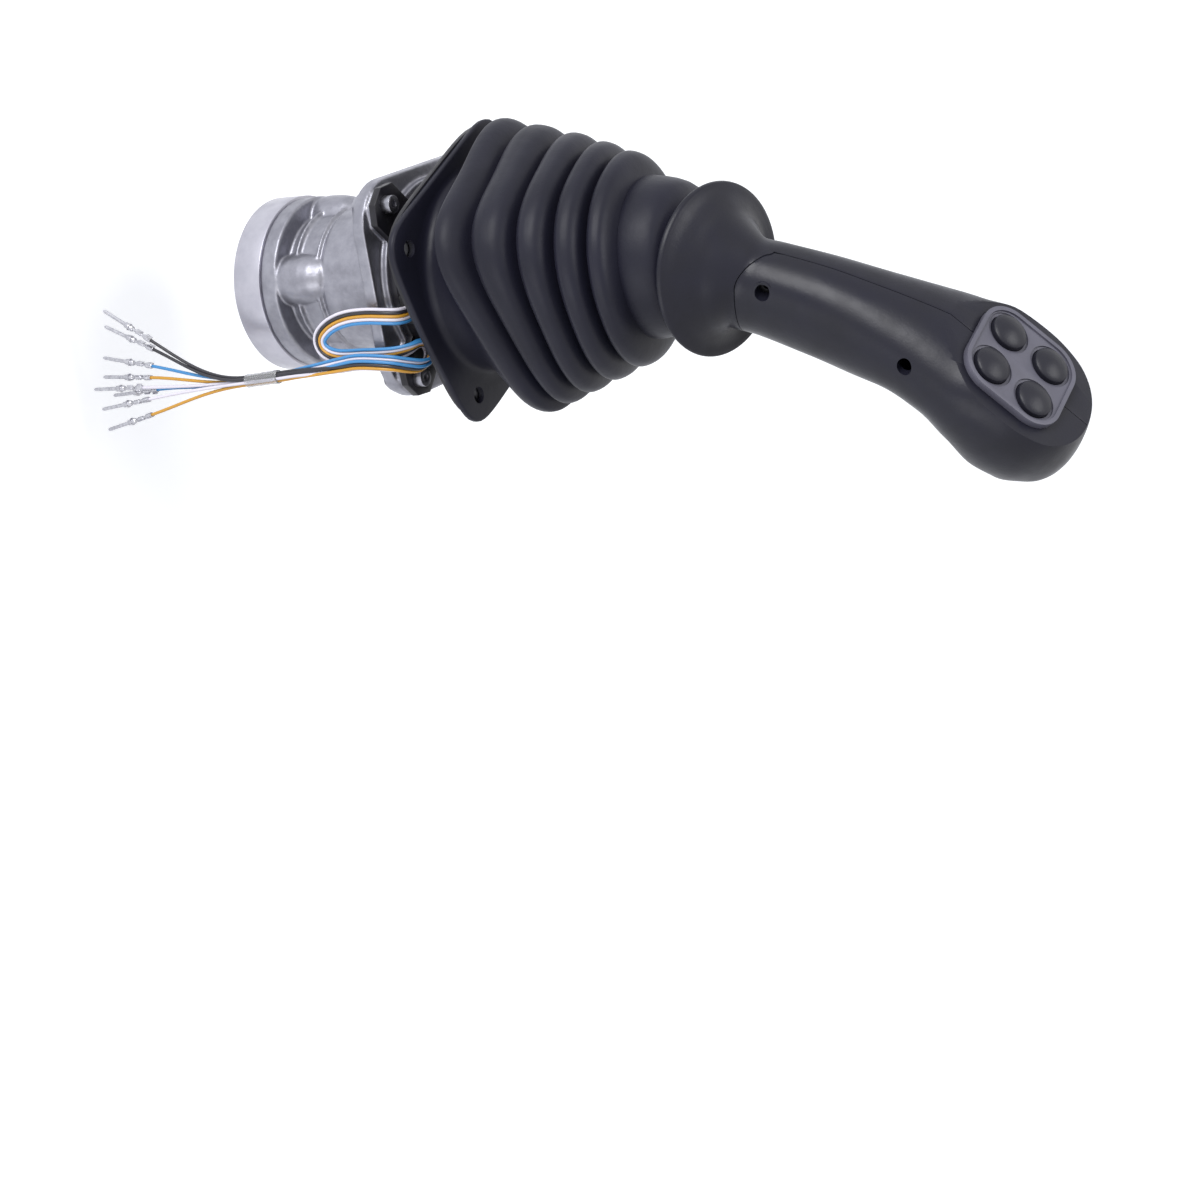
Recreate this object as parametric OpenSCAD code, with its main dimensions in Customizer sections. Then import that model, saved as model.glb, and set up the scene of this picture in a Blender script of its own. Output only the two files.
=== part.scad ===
// Hydraulic pilot joystick: a cast pilot valve, a rubber boot and a bent hand grip with four buttons.
// The origin is the centre of the boot plate's underside, which lies on the console panel.
// +Z runs up the valve axis towards the grip and +X is the way the grip leans.

/* [Port block] */
// Diameter of the machined port block
block_d = 70; // [66:0.5:76]
// Thickness of the port block
block_h = 13.4; // [12:0.2:18]
// Radius of the bore of every hose port
port_r = 5.2; // [4:0.1:5.4]
// Depth of every port bore
port_depth = 9; // [6:0.5:10]

/* [Valve body] */
// Distance from the panel face down to the face of the port block
valve_h = 93; // [88:0.5:100]
// Diameter of the casting's lowest ring
ring_d = 68.4; // [66:0.2:70]
// Height of the casting's lowest ring
ring_h = 7.5; // [5:0.5:9]
// Diameter of the waist between the bolt bosses
waist_d = 54; // [50:1:58]
// Diameter of the column below the flange
column_d = 59; // [57:1:64]
// Diameter of a domed bolt boss
boss_d = 20; // [18:0.5:21]
// Angle of the first bolt boss from +X
boss_turn = 54; // [50:1:58]
// Width of the square casting flange
flange_w = 86; // [84:1:92]
// Corner radius of the casting flange
flange_corner = 19; // [14:1:24]
// Thickness of the casting flange at its rim
flange_t = 5.5; // [4.5:0.5:8]
// Height of the raised seats for the top plate
seat_h = 3; // [2:0.5:4]
// Angle of the valve body's square about the axis
valve_turn = -23; // [-30:1:-15]
// Diameter of a spool bore's running surface
spool_d = 7; // [6:0.1:8]

/* [Top plate] */
// Thickness of the black top plate
plate_t = 3; // [2:0.5:4]
// Distance from the axis to each plate screw
screw_r = 48.3; // [47:0.1:50]
// Diameter of the plate screw's thread
screw_d = 4; // [3:0.5:5]
// Height of the spacer ring between the top plate and the boot plate
spacer_h = 11.5; // [10:0.5:13]
// Outer diameter of the spacer ring
spacer_d = 74; // [72:1:78]

/* [Plungers] */
// Distance from the axis to each plunger
plunger_pitch = 19; // [18.5:0.5:19.5]
// Diameter of a plunger
plunger_d = 8; // [7:0.5:8.5]
// Running clearance of plungers, spools and joint pins, on radius
fit_gap = 0.04; // [0.02:0.01:0.08]
// Mean radius of a return spring
spring_r = 6.3; // [5.8:0.1:6.5]
// Radius of the spring wire
spring_wire = 0.9; // [0.7:0.1:1]

/* [Universal joint] */
// Height of the tilt centre above the panel face
pivot_z = 2; // [1:0.5:3]
// Diameter of the joint's cross pins
pin_d = 6; // [5:0.5:6.5]
// Thickness of each yoke's lugs
lug_t = 4; // [3:0.5:4.5]
// Radius of the tilting plate that presses the plungers
swash_r = 25.5; // [25:0.5:26]
// Diameter of the bent steel lever
rod_d = 13; // [12:0.5:14]

/* [Boot] */
// Width of the boot plate across the middle of its bowed sides
boot_w = 94; // [92:1:102]
// Squareness of the boot plate's outline
boot_square = 5; // [5:0.5:8]
// Thickness of the steel boot plate
boot_plate_t = 2; // [1.5:0.5:3]
// Spacing of the four panel bolts
bolt_pitch = 70; // [66:1:72]
// Diameter of each panel bolt hole
bolt_d = 5.6; // [5:0.1:6.6]
// Height of the boot's first fold above the panel face
fold_z = 28.8; // [27:0.2:31]
// Height from one fold to the next
fold_pitch = 11.85; // [11.2:0.05:12.4]
// Depth of the folds
fold_depth = 8; // [6:0.5:9]
// Wall thickness of the rubber
rubber_t = 2; // [1.6:0.1:2.4]

/* [Grip] */
// Lean of the grip's neck from the valve axis
grip_lean = 31; // [29:0.5:33]
// Height at which the lever bends
bend_z = 94; // [92:0.5:97]
// Radius of the skirt's rim
skirt_r = 33; // [31:0.5:35]
// Wall thickness of the moulded shells
shell_t = 3; // [2.5:0.1:3.6]
// Gap along the parting line between the grip and its cover
part_gap = 0.3; // [0.2:0.05:0.5]

/* [Buttons] */
// Width of the square button panel
panel_w = 42; // [41:0.5:44]
// Corner radius of the button panel
panel_corner = 12; // [10:0.5:13]
// Thickness of the button panel
panel_t = 3.2; // [2.8:0.2:4]
// Distance between neighbouring button centres
button_pitch = 19.6; // [19:0.2:20]
// Diameter of a button
button_d = 14.4; // [13.6:0.2:15]
// Height of a button's dome above the panel
button_h = 3.4; // [3:0.2:4]
// Travel of a button
button_travel = 1.5; // [1:0.1:1.8]
// Clearance around a button, on radius
button_gap = 0.25; // [0.15:0.05:0.4]

/* [Wires] */
// Diameter of one insulated wire
wire_d = 1.3; // [1.1:0.1:1.4]

/* [Hidden] */
$fn = 64;
eps = 0.01;

// Heights of the valve's layers, from the bottom up
block_top = -valve_h + block_h;
ring_top = block_top + ring_h;
plate_top = -spacer_h;
plate_bot = plate_top - plate_t;
flange_top = plate_bot - seat_h;
flange_bot = flange_top - flange_t;

// Bolt bosses and the four long bolts that hold the port block
boss_pitch = (ring_d - boss_d) / 2 - 0.2;
boss_top = ring_top + 21;
body_bolt_d = 8;
body_bolt_head_d = 13;
body_bolt_head_h = 8;

// Plunger columns: the plunger's seat, the spring below it and the spool through it
plunger_top = pivot_z + 9.1;
seat_top = -28;
seat_t = 3;
seat_r = 7.4;
chamber_r = 8.2;
chamber_floor = -54;
bush_bot = -18;
bush_head_r = 7;
gallery_r = 2.2;
pressure_port = [-5, -5];
tank_port = [7, 7];
spool_bot = -72;

// Universal joint and swash plate
swash_bot = pivot_z + 10;
swash_t = 5;
hub_r = 10;
hub_h = 7;
nut_af = 22;
nut_h = 7;
lug_inner = 7;
lug_r = 6;

// Half width and squareness of the boot at each fold, and how its folds lean back
FOLD_W = [[1, 48], [2, 46.5], [3, 45], [4, 42.7], [5, 39.6], [6, 36]];
FOLD_N = [[0, 4], [1, 4], [2, 3.4], [3, 2.8], [4, 2.4], [5, 2.15], [6, 2]];
FOLD_LEAN = [[0, 0], [1, -6], [2, 1.5], [3, 6], [4, 8], [5, 7.5], [6, 3]];
FOLD_SIDE = [[0, 0], [1, 7.5], [2, 5.2], [3, 3], [4, 2.3], [5, 1.8], [6, 0.5]];
boot_sides = 32;
fold_steps = 6;
split_t = 2.5;
cone_t = 5.5;
collar_s = 17;
collar_r = 9;
boot_flange_t = 2.5;

// Grip stations: x, z, lean, half depth, half width
GRIP = [[14.6, 117.9, 30, 18.2, 16.6],
        [17.6, 125.8, 31, 17.9, 16.4],
        [27.2, 145.8, 31, 18.7, 18],
        [35.8, 161.8, 33, 18.5, 20.4],
        [43.6, 176.7, 37, 17.7, 23.4],
        [51.7, 188.2, 42, 18, 27.2],
        [61.1, 198.4, 46, 22, 30],
        [72.5, 206.4, 50, 25.2, 29.8],
        [83, 213.6, 54, 24.8, 26.8],
        [91.9, 217.6, 56, 19.6, 20.6],
        [97.4, 218.4, 57, 14.2, 15.2],
        [100.6, 218.6, 57, 8.6, 9.4],
        [102, 218.9, 57, 3.6, 4]];
// Skirt stations below the grip: x, z, lean, half depth, half width, tilt towards -Y
SKIRT = [[7.3, 106, 0, 1, 14],
         [7.4, 108, 1, 0.985, 14],
         [8, 109.6, 3, 0.85, 13],
         [9.6, 112, 9, 0.7, 9],
         [12, 115, 18, 0.6, 4]];
// The hollow under the skirt: x, z, lean, radius as a part of the rim's, tilt
SKIRT_IN = [[7.3, 105, 0, 0.95, 14],
            [7.3, 106.4, 0, 0.93, 14],
            [8, 107.4, 3, 0.79, 13],
            [9.6, 109.8, 9, 0.655, 9],
            [12, 113.4, 18, 0.53, 4]];
grip_sides = 40;

// Button panel: the centre of its top face and the lean of its normal back towards -X
panel_x = 58.7;
panel_z = 214.3;
panel_lean = -35.4;
panel_lip = 1.2;
panel_seat = panel_t - panel_lip;
ring_groove_d = button_d + 2.8;
button_flange_d = 16.2;
switch_w = 8;
switch_h = 4;
board_w = 35;
board_t = 1.6;

// Grip cover: its lower edge and the round corner where that edge turns up
cover_corner = 8;
cover_end = [8.9, 128.9];
cover_back = 17.5;
cover_slope = 15;
screw_boss = 3.8;
cover_screw_d = 4;
cover_screws_at = [[9.6, 131.3], [39.9, 182]];

// Wires: each route's points and the places of the eight contact pins
bundle_r = 2.4;
exit_z = -6;
grommet_turn = 257;
RUN = [[-8.6, -37.5, -6], [-9.4, -41, -6], [-11, -44.4, -7.6], [-12.6, -46.2, -12], [-13.4, -46.6, -18],
       [-13.4, -46.6, -24], [-13, -46.8, -29], [-11.8, -47.2, -34.4], [-9.6, -48, -39.6], [-6.5, -49.4, -43.2],
       [-3.2, -50.8, -43.2], [-0.8, -51.8, -40.4], [0.6, -52.2, -36], [1, -52.2, -31], [1, -52.2, -25],
       [1.4, -51.6, -18], [2, -49.6, -11.8], [3, -46, -6.8], [5, -42.8, -4.8], [8, -42, -4.4],
       [10, -44.6, -4.4], [9, -48.2, -4.8], [6.2, -51.8, -6.2], [3, -54.8, -9.8], [1, -56.6, -16],
       [0.6, -57.2, -24], [1.4, -57.4, -34], [2.4, -57.8, -44], [3.4, -58, -54], [4.4, -58.4, -64]];
sleeve_top = [4.4, -58.4, -64];
sleeve_bot = [5.4, -58.8, -80];
TIPS = [[-11.8, -51.4, -125.6], [-8.4, -53, -125], [-2, -55.6, -127.4], [2.8, -56.8, -130],
        [5.6, -59.6, -134], [8.4, -57.6, -129], [9.8, -62, -131.4], [16.4, -63.6, -132.4]];
LEANS = [[-11.6, 4.8, -20], [-9.8, 4, -22.6], [-4.6, 2, -27.4], [-1, 0.8, -26],
         [-0.6, -0.4, -26], [2.6, 0.8, -28], [3, -2, -28], [5.8, -2.4, -27.6]];
pin_l = 25;
// Each wire's place around the sleeve's lower end, in sevenths of a turn, with one wire in the middle (-1)
PLACES = [3, 4, 2, 1, -1, 0, 5, 6];
wire_ring_r = wire_d + 0.3;

// ---------- vectors and lofts ----------

function unit(v) = v / norm(v);
function mid(a, b) = (a + b) / 2;
function tangent(path, i) =
    let(last = len(path) - 1)
    unit(path[min(i + 1, last)] - path[max(i - 1, 0)]);
function side_axis(t) = unit(cross(t, abs(t.z) > 0.8 ? [1, 0, 0] : [0, 0, 1]));

// Every ring of a loft has the same number of points, and the rings run bottom to top.
function skin_faces(rings, sides) =
    [for (r = [0 : rings - 2], i = [0 : sides - 1])
        let(a = r * sides + i, b = r * sides + (i + 1) % sides)
        each [[a, b, a + sides], [b, b + sides, a + sides]]];
function cap_faces(rings, sides) =
    [[for (i = [sides - 1 : -1 : 0]) i], [for (i = [0 : sides - 1]) (rings - 1) * sides + i]];
function loop_faces(rings, sides) =
    [for (i = [0 : sides - 1])
        let(a = (rings - 1) * sides + i, b = (rings - 1) * sides + (i + 1) % sides)
        each [[a, b, i], [b, (i + 1) % sides, i]]];

module solid_loft(rings) {
    sides = len(rings[0]);
    faces = concat(skin_faces(len(rings), sides), cap_faces(len(rings), sides));
    polyhedron([for (r = rings) each r], [for (f = faces) [for (k = [len(f) - 1 : -1 : 0]) f[k]]], 8);
}

// The rings go up the outside and come down the inside, so the wall closes on itself.
module wall_loft(rings) {
    sides = len(rings[0]);
    faces = concat(skin_faces(len(rings), sides), loop_faces(len(rings), sides));
    polyhedron([for (r = rings) each r], [for (f = faces) [for (k = [len(f) - 1 : -1 : 0]) f[k]]], 8);
}

module tube_along(path, r, sides = 8) {
    rings = [for (i = [0 : len(path) - 1])
        let(t = tangent(path, i), u = side_axis(t), v = cross(t, u))
        [for (k = [0 : sides - 1]) path[i] + r * (cos(360 * k / sides) * u + sin(360 * k / sides) * v)]];
    solid_loft(rings);
}

module rounded_square(w, r) {
    square([w - 2 * r, w], center = true);
    square([w, w - 2 * r], center = true);
    for (x = [-1, 1], y = [-1, 1])
        translate([x * (w / 2 - r), y * (w / 2 - r)]) circle(r);
}

// A square with bowed sides and round corners, as the boot's plate and flange have
module bowed_square(w, n) {
    polygon([for (i = [0 : 95])
        let(a = 360 * i / 96, k = 1 / pow(pow(abs(cos(a)), n) + pow(abs(sin(a)), n), 1 / n))
        w / 2 * k * [cos(a), sin(a)]]);
}

module ring(z, h, ro, ri) {
    translate([0, 0, z]) difference() {
        cylinder(h = h, r = ro);
        translate([0, 0, -1]) cylinder(h = h + 2, r = ri);
    }
}

module at_four(r, turn = 0) {
    for (a = [0 : 90 : 270]) rotate([0, 0, turn + a]) translate([r, 0, 0]) children();
}

// A drum from z up by h, centred on one of the plunger columns by at_four
module post(z, h, r) {
    translate([0, 0, z]) cylinder(h = h, r = r);
}

// ---------- valve ----------

module port_block() {
    color("silver") difference() {
        union() {
            post(-valve_h, 1, block_d / 2 - 0.6);
            post(-valve_h + 0.6, block_h - 0.6, block_d / 2);
        }
        at_four(plunger_pitch) post(-valve_h - 1, port_depth + 1, port_r);
        at_four(plunger_pitch) post(-valve_h, block_h + 1, spool_d / 2 - 1);
        for (p = [pressure_port, tank_port]) translate(p) {
            post(-valve_h - 1, port_depth + 1, port_r);
            post(-valve_h, block_h + 1, gallery_r);
        }
        at_four(boss_pitch, boss_turn) post(-valve_h - 1, block_h + 2, body_bolt_d / 2 + 0.1);
        at_four(boss_pitch, boss_turn) post(-valve_h - 1, body_bolt_head_h + 1, body_bolt_head_d / 2 + 0.25);
        at_four(plunger_pitch) ring(block_top - 1.5, 3, 6.6, 4.5);
    }
}

module port_seals() {
    color("black") at_four(plunger_pitch) rotate_extrude() translate([5.55, block_top - 0.75])
        circle(r = 0.74, $fn = 24);
}

module boss() {
    post(ring_top - eps, boss_top - ring_top - boss_d / 2 + eps, boss_d / 2);
    translate([0, 0, boss_top - boss_d / 2]) sphere(d = boss_d);
    translate([-boss_pitch / 2, 0, (ring_top + boss_top) / 2 - 5])
        cube([boss_pitch, boss_d - 5, boss_top - ring_top - 10], center = true);
}

module body_shape() {
    shoulder = boss_top - 8;
    post(block_top, ring_h, ring_d / 2);
    post(ring_top - eps, shoulder - ring_top + 2 * eps, waist_d / 2);
    translate([0, 0, shoulder]) cylinder(h = 5, d1 = waist_d, d2 = column_d);
    post(shoulder + 5 - eps, flange_bot - shoulder - 5 + 2 * eps, column_d / 2);
    translate([0, 0, flange_bot - 6]) cylinder(h = 6 + eps, d1 = column_d, d2 = column_d + 9);
    at_four(boss_pitch, boss_turn) boss();
    // Cast frames of the pockets between the bosses
    ring(ring_top + 5, 1.8, waist_d / 2 + 2.4, waist_d / 2 - 2);
    ring(shoulder - 4, 1.8, waist_d / 2 + 2.4, waist_d / 2 - 2);
    rotate([0, 0, valve_turn]) {
        translate([0, 0, flange_bot]) linear_extrude(flange_t) rounded_square(flange_w, flange_corner);
        translate([0, 0, flange_top - eps]) cylinder(h = seat_h + eps, r = spacer_d / 2 + 1);
        at_four(screw_r - 2.5, 45) translate([0, 0, flange_top - eps])
            linear_extrude(seat_h + eps) polygon([[-9, -9], [0, -9], [6, -4], [6, 4], [0, 9], [-9, 9]]);
        // Gussets under the flange's corners
        for (a = [45 : 90 : 315]) rotate([90, 0, a]) translate([0, 0, -2.5]) linear_extrude(5)
            polygon([[column_d / 2 - 2, flange_bot - 16], [column_d / 2 - 2, flange_bot + 1],
                     [screw_r + 4, flange_bot + 1], [screw_r + 4, flange_bot - 1.5]]);
    }
}

// Pressure reaches the spools through the low cross and leaves the spring chambers through the high one
module galleries() {
    low = block_top + 12;
    high = chamber_floor + 3;
    translate(pressure_port) post(block_top - 1, 13, gallery_r);
    translate(tank_port) post(block_top - 1, high - block_top + 1, gallery_r);
    translate([0, 0, low]) rotate([0, 90, 225]) cylinder(h = norm(pressure_port), r = gallery_r - 0.4);
    translate([0, 0, high]) rotate([0, 90, 45]) cylinder(h = norm(tank_port), r = gallery_r - 0.4);
    for (z = [low, high]) translate([0, 0, z]) {
        rotate([0, 90, 0]) cylinder(h = 2 * plunger_pitch, r = gallery_r, center = true);
        rotate([0, 90, 90]) cylinder(h = 2 * plunger_pitch, r = gallery_r - 0.2, center = true);
    }
}

module valve_body() {
    color([0.68, 0.68, 0.7]) difference() {
        body_shape();
        at_four(plunger_pitch) post(chamber_floor, 60, chamber_r);
        at_four(plunger_pitch) post(block_top - 1, chamber_floor - block_top + 2, spool_d / 2 + fit_gap);
        at_four(boss_pitch, boss_turn) post(block_top - 1, 22, body_bolt_d / 2 + 0.05);
        galleries();
        rotate([0, 0, valve_turn]) at_four(screw_r, 45)
            post(flange_bot + 1, plate_bot - flange_bot, screw_d / 2 + 0.05);
    }
}

module hex_bolt(head_z, head_d, head_h, d, l, key) {
    translate([0, 0, head_z]) difference() {
        cylinder(h = head_h, d = head_d);
        translate([0, 0, head_h * 0.4]) cylinder(h = head_h, d = key, $fn = 6);
    }
    translate([0, 0, head_z - l]) cylinder(h = l + eps, d = d);
}

module body_bolts() {
    head_z = valve_h - body_bolt_head_h;
    color("dimgray") at_four(boss_pitch, boss_turn) mirror([0, 0, 1])
        hex_bolt(head_z, body_bolt_head_d, body_bolt_head_h - 0.4, body_bolt_d, 24, 7);
}

module top_plate() {
    ear = 10;
    color([0.18, 0.17, 0.21]) translate([0, 0, plate_bot]) difference() {
        rotate([0, 0, valve_turn]) linear_extrude(plate_t) {
            circle(r = spacer_d / 2);
            for (a = [45 : 90 : 315]) rotate(a)
                polygon([[20, -ear], [screw_r + 0.5, -ear], [screw_r + 5.7, -4],
                         [screw_r + 5.7, 4], [screw_r + 0.5, ear], [20, ear]]);
        }
        at_four(plunger_pitch) post(-1, plate_t + 2, bush_head_r + 0.05);
        rotate([0, 0, valve_turn]) at_four(screw_r, 45) post(-1, plate_t + 2, screw_d / 2 + 0.25);
    }
}

module plate_screws() {
    color("gray") rotate([0, 0, valve_turn]) at_four(screw_r, 45)
        hex_bolt(plate_top, screw_d * 1.75, screw_d, screw_d, plate_t + seat_h + 4, screw_d * 0.75);
}

module plunger_bushes() {
    color("goldenrod") at_four(plunger_pitch) difference() {
        union() {
            post(bush_bot, plate_bot - bush_bot, chamber_r - 0.02);
            post(bush_bot, plate_top - bush_bot + 1.5, bush_head_r);
        }
        post(bush_bot - 1, 30, plunger_d / 2 + fit_gap);
        post(plate_top, 3, plunger_d / 2 + 1.5);
    }
}

module plunger_seals() {
    color("black") at_four(plunger_pitch) ring(plate_top, 1.5, plunger_d / 2 + 1.45, plunger_d / 2 + 0.05);
}

module spacer_ring() {
    wall = 8;
    color([0.17, 0.17, 0.2]) difference() {
        ring(plate_top, spacer_h, spacer_d / 2, spacer_d / 2 - wall);
        rotate([0, 0, grommet_turn]) translate([spacer_d / 2 - wall / 2, 0, exit_z])
            cube([wall + 4, 9, 7], center = true);
        at_four(spacer_d / 2 - 4, 45) post(-6, 7, 1.55);
    }
}

module spacer_screws() {
    head_z = boot_plate_t;
    color("gray") at_four(spacer_d / 2 - 4, 45) {
        post(-5.5, 5.5 + head_z, 1.5);
        translate([0, 0, head_z - 1.2]) cylinder(h = 1.2, r1 = 1.5, r2 = 2.7);
    }
}

module wire_grommet() {
    wall = 8;
    color([0.1, 0.1, 0.1]) rotate([0, 0, grommet_turn]) translate([0, 0, exit_z]) difference() {
        union() {
            translate([spacer_d / 2 - wall / 2 + 0.4, 0, 0]) cube([wall + 0.4, 8.9, 6.9], center = true);
            translate([spacer_d / 2 + 0.85, 0, 0]) cube([1.1, 11.4, 8.4], center = true);
        }
        translate([spacer_d / 2 - wall, 0, 0]) rotate([0, 90, 0]) cylinder(h = wall * 0.7, r = bundle_r);
    }
}

// ---------- plunger columns ----------

module plunger() {
    color("gainsboro") {
        post(seat_top, plunger_top - 3 - seat_top, plunger_d / 2);
        translate([0, 0, plunger_top - 3]) cylinder(h = 2, r1 = plunger_d / 2, r2 = plunger_d / 2 - 1);
        translate([0, 0, plunger_top - 1]) cylinder(h = 1, r1 = plunger_d / 2 - 1, r2 = 1.4);
        post(seat_top - seat_t, seat_t + eps, seat_r);
    }
}

module spool() {
    neck = spool_d / 2 - 0.9;
    color("darkgray") {
        post(spool_bot, seat_top - seat_t - spool_bot, neck);
        for (z = [spool_bot, spool_bot + 6.5]) post(z, 4, spool_d / 2);
    }
}

// One helical spring between the chamber floor and the plunger's seat
module spring() {
    turns = 4.5;
    per_turn = 10;
    low = chamber_floor + spring_wire + 0.05;
    high = seat_top - seat_t - spring_wire - 0.05;
    count = turns * per_turn;
    path = [for (i = [0 : count])
        let(a = 360 * i / per_turn, s = max(0, min(1, (i - 5) / (count - 10))))
        [spring_r * cos(a), spring_r * sin(a), low + (high - low) * s]];
    color("lightgray") tube_along(path, spring_wire, 6);
}

// ---------- universal joint and lever ----------

module lug(axis_turn) {
    for (s = [-1, 1]) rotate([0, 0, axis_turn]) translate([s * (lug_inner + lug_t / 2), 0, 0]) children();
}

module pin_bore() {
    rotate([0, 90, 0]) cylinder(h = 40, d = pin_d + 2 * fit_gap, center = true);
}

module lower_yoke() {
    base_t = 3;
    color("slategray") difference() {
        union() {
            post(plate_top, base_t, lug_inner + lug_t + 0.7);
            lug(0) {
                translate([0, 0, pivot_z]) rotate([0, 90, 0]) cylinder(h = lug_t, r = lug_r, center = true);
                translate([0, 0, (plate_top + pivot_z) / 2])
                    cube([lug_t, 2 * lug_r, pivot_z - plate_top], center = true);
            }
        }
        translate([0, 0, pivot_z]) pin_bore();
    }
}

module joint_cross() {
    half = lug_inner - 0.4;
    color("gainsboro") translate([0, 0, pivot_z]) {
        cube([2 * half, 2 * half, pin_d + 3], center = true);
        for (a = [0, 90]) rotate([0, 0, a]) rotate([0, 90, 0])
            cylinder(h = 2 * (lug_inner + lug_t), d = pin_d, center = true);
    }
}

module swash_plate() {
    color("slategray") difference() {
        union() {
            post(swash_bot, swash_t, swash_r);
            post(swash_bot + swash_t - eps, hub_h + eps, hub_r);
            lug(90) {
                translate([0, 0, pivot_z]) rotate([0, 90, 0]) cylinder(h = lug_t, r = lug_r, center = true);
                translate([0, 0, (swash_bot + pivot_z) / 2 + 0.5])
                    cube([lug_t, 2 * lug_r, swash_bot - pivot_z + 1], center = true);
            }
        }
        translate([0, 0, pivot_z]) rotate([0, 0, 90]) pin_bore();
        post(swash_bot + 2, 40, rod_d / 2);
    }
}

module lock_nut() {
    z = swash_bot + swash_t + hub_h;
    color("silver") translate([0, 0, z]) difference() {
        cylinder(h = nut_h, d = nut_af / cos(30), $fn = 6);
        translate([0, 0, -1]) cylinder(h = nut_h + 2, d = rod_d);
    }
}

rod_bend_r = 30;
rod_end = 60;

module lever_rod() {
    start = swash_bot + 2;
    straight = rod_bend_r * tan(grip_lean / 2);
    color("silver") {
        post(start, bend_z - straight - start + 0.5, rod_d / 2);
        translate([rod_bend_r, 0, bend_z - straight]) rotate([90, 0, 0]) rotate([0, 0, 180 - grip_lean])
            rotate_extrude(angle = grip_lean) translate([rod_bend_r, 0]) circle(d = rod_d - 0.4);
        translate([0, 0, bend_z]) rotate([0, grip_lean, 0])
            translate([0, 0, straight - 0.5]) cylinder(h = rod_end - straight + 0.5, d = rod_d);
    }
}

// ---------- boot ----------

function fold_w(t) = lookup(t, FOLD_W) - fold_depth * pow(pow(sin(180 * t), 2), 1.3);
function boot_z(t) = fold_z + fold_pitch * (t - 1);
function boot_ring(z, w, n, lean, side = 0) =
    [for (i = [0 : boot_sides - 1])
        let(a = 360 * i / boot_sides,
            r = w / pow(pow(abs(cos(a)), n) + pow(abs(sin(a)), n), 1 / n))
        [r * cos(a), r * sin(a), z + r * (tan(lean) * cos(a - 225) + tan(side) * cos(a - 315))]];
function fold_ring(t, inset) =
    boot_ring(boot_z(t), fold_w(t) - inset, lookup(t, FOLD_N), lookup(t, FOLD_LEAN), lookup(t, FOLD_SIDE));
function fold_rings(t0, t1, inset) =
    let(n = round((t1 - t0) * fold_steps)) [for (i = [0 : n]) fold_ring(t0 + (t1 - t0) * i / n, inset)];
function reversed(list) = [for (i = [len(list) - 1 : -1 : 0]) list[i]];

boot_foot = boot_plate_t + boot_flange_t;
function foot_rings(inset) =
    [boot_ring(boot_foot - 1, 41 - inset, 2.6, 0), boot_ring(boot_foot + 4, 40 - inset, 2.6, 0),
     boot_ring(boot_foot + 9, 39.6 - inset, 2.7, 0), boot_ring(boot_foot + 14, 40 - inset, 2.9, 0)];
function cone_rings(inset) =
    [boot_ring(boot_z(cone_t) + 3.4, 30.6 - inset, 2, 4, 1), boot_ring(96 - inset / 3, 28.2 - inset, 2, 1),
     boot_ring(99.5 - inset / 2, 25 - inset, 2, 0), boot_ring(102.6 - inset, 20.4 - inset, 2, 0)];
// A round ring square to the lever, s along it from the bend
function rod_ring(s, r) =
    [for (i = [0 : boot_sides - 1])
        let(a = 360 * i / boot_sides, u = r * cos(a))
        [s * sin(grip_lean) + u * cos(grip_lean), r * sin(a), bend_z + s * cos(grip_lean) - u * sin(grip_lean)]];
function neck_rings(inset) =
    [rod_ring(collar_s - inset, collar_r + 4.6 - inset), rod_ring(collar_s + 1.5 - inset, collar_r + 0.4 + rubber_t - inset),
     rod_ring(collar_s + 6, collar_r + 0.4 + rubber_t - inset)];

module boot_lower() {
    color([0.18, 0.18, 0.22]) {
        translate([0, 0, boot_plate_t]) difference() {
            linear_extrude(boot_flange_t) bowed_square(boot_w, boot_square);
            translate([0, 0, -1]) cylinder(h = 10, r = 36);
            for (x = [-1, 1], y = [-1, 1]) translate([x * bolt_pitch / 2, y * bolt_pitch / 2, -1])
                cylinder(h = 10, d = bolt_d + 1);
        }
        wall_loft(concat(foot_rings(0), fold_rings(0.7, split_t - 0.03, 0),
                         reversed(fold_rings(0.7, split_t - 0.03, rubber_t)), reversed(foot_rings(rubber_t))));
    }
}

module boot_upper() {
    color([0.18, 0.18, 0.22]) wall_loft(concat(
        fold_rings(split_t + 0.03, cone_t, 0), cone_rings(0), neck_rings(0),
        reversed(neck_rings(rubber_t)), reversed(cone_rings(rubber_t)),
        reversed(fold_rings(split_t + 0.03, cone_t, rubber_t))));
}

module boot_plate() {
    color([0.15, 0.15, 0.17]) difference() {
        linear_extrude(boot_plate_t) bowed_square(boot_w - 1, boot_square);
        post(-1, 10, spacer_d / 2 - 8);
        for (x = [-1, 1], y = [-1, 1]) translate([x * bolt_pitch / 2, y * bolt_pitch / 2, 0])
            post(-1, 10, bolt_d / 2);
        at_four(spacer_d / 2 - 4, 45) post(-1, 10, 1.55);
        at_four(spacer_d / 2 - 4, 45) translate([0, 0, boot_plate_t - 1.2])
            cylinder(h = 1.3, r1 = 1.55, r2 = 2.9);
    }
}

module boot_collar() {
    color([0.2, 0.2, 0.22]) translate([0, 0, bend_z]) rotate([0, grip_lean, 0])
        ring(collar_s + 1, 6, collar_r, rod_d / 2);
}

// ---------- grip ----------

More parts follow.
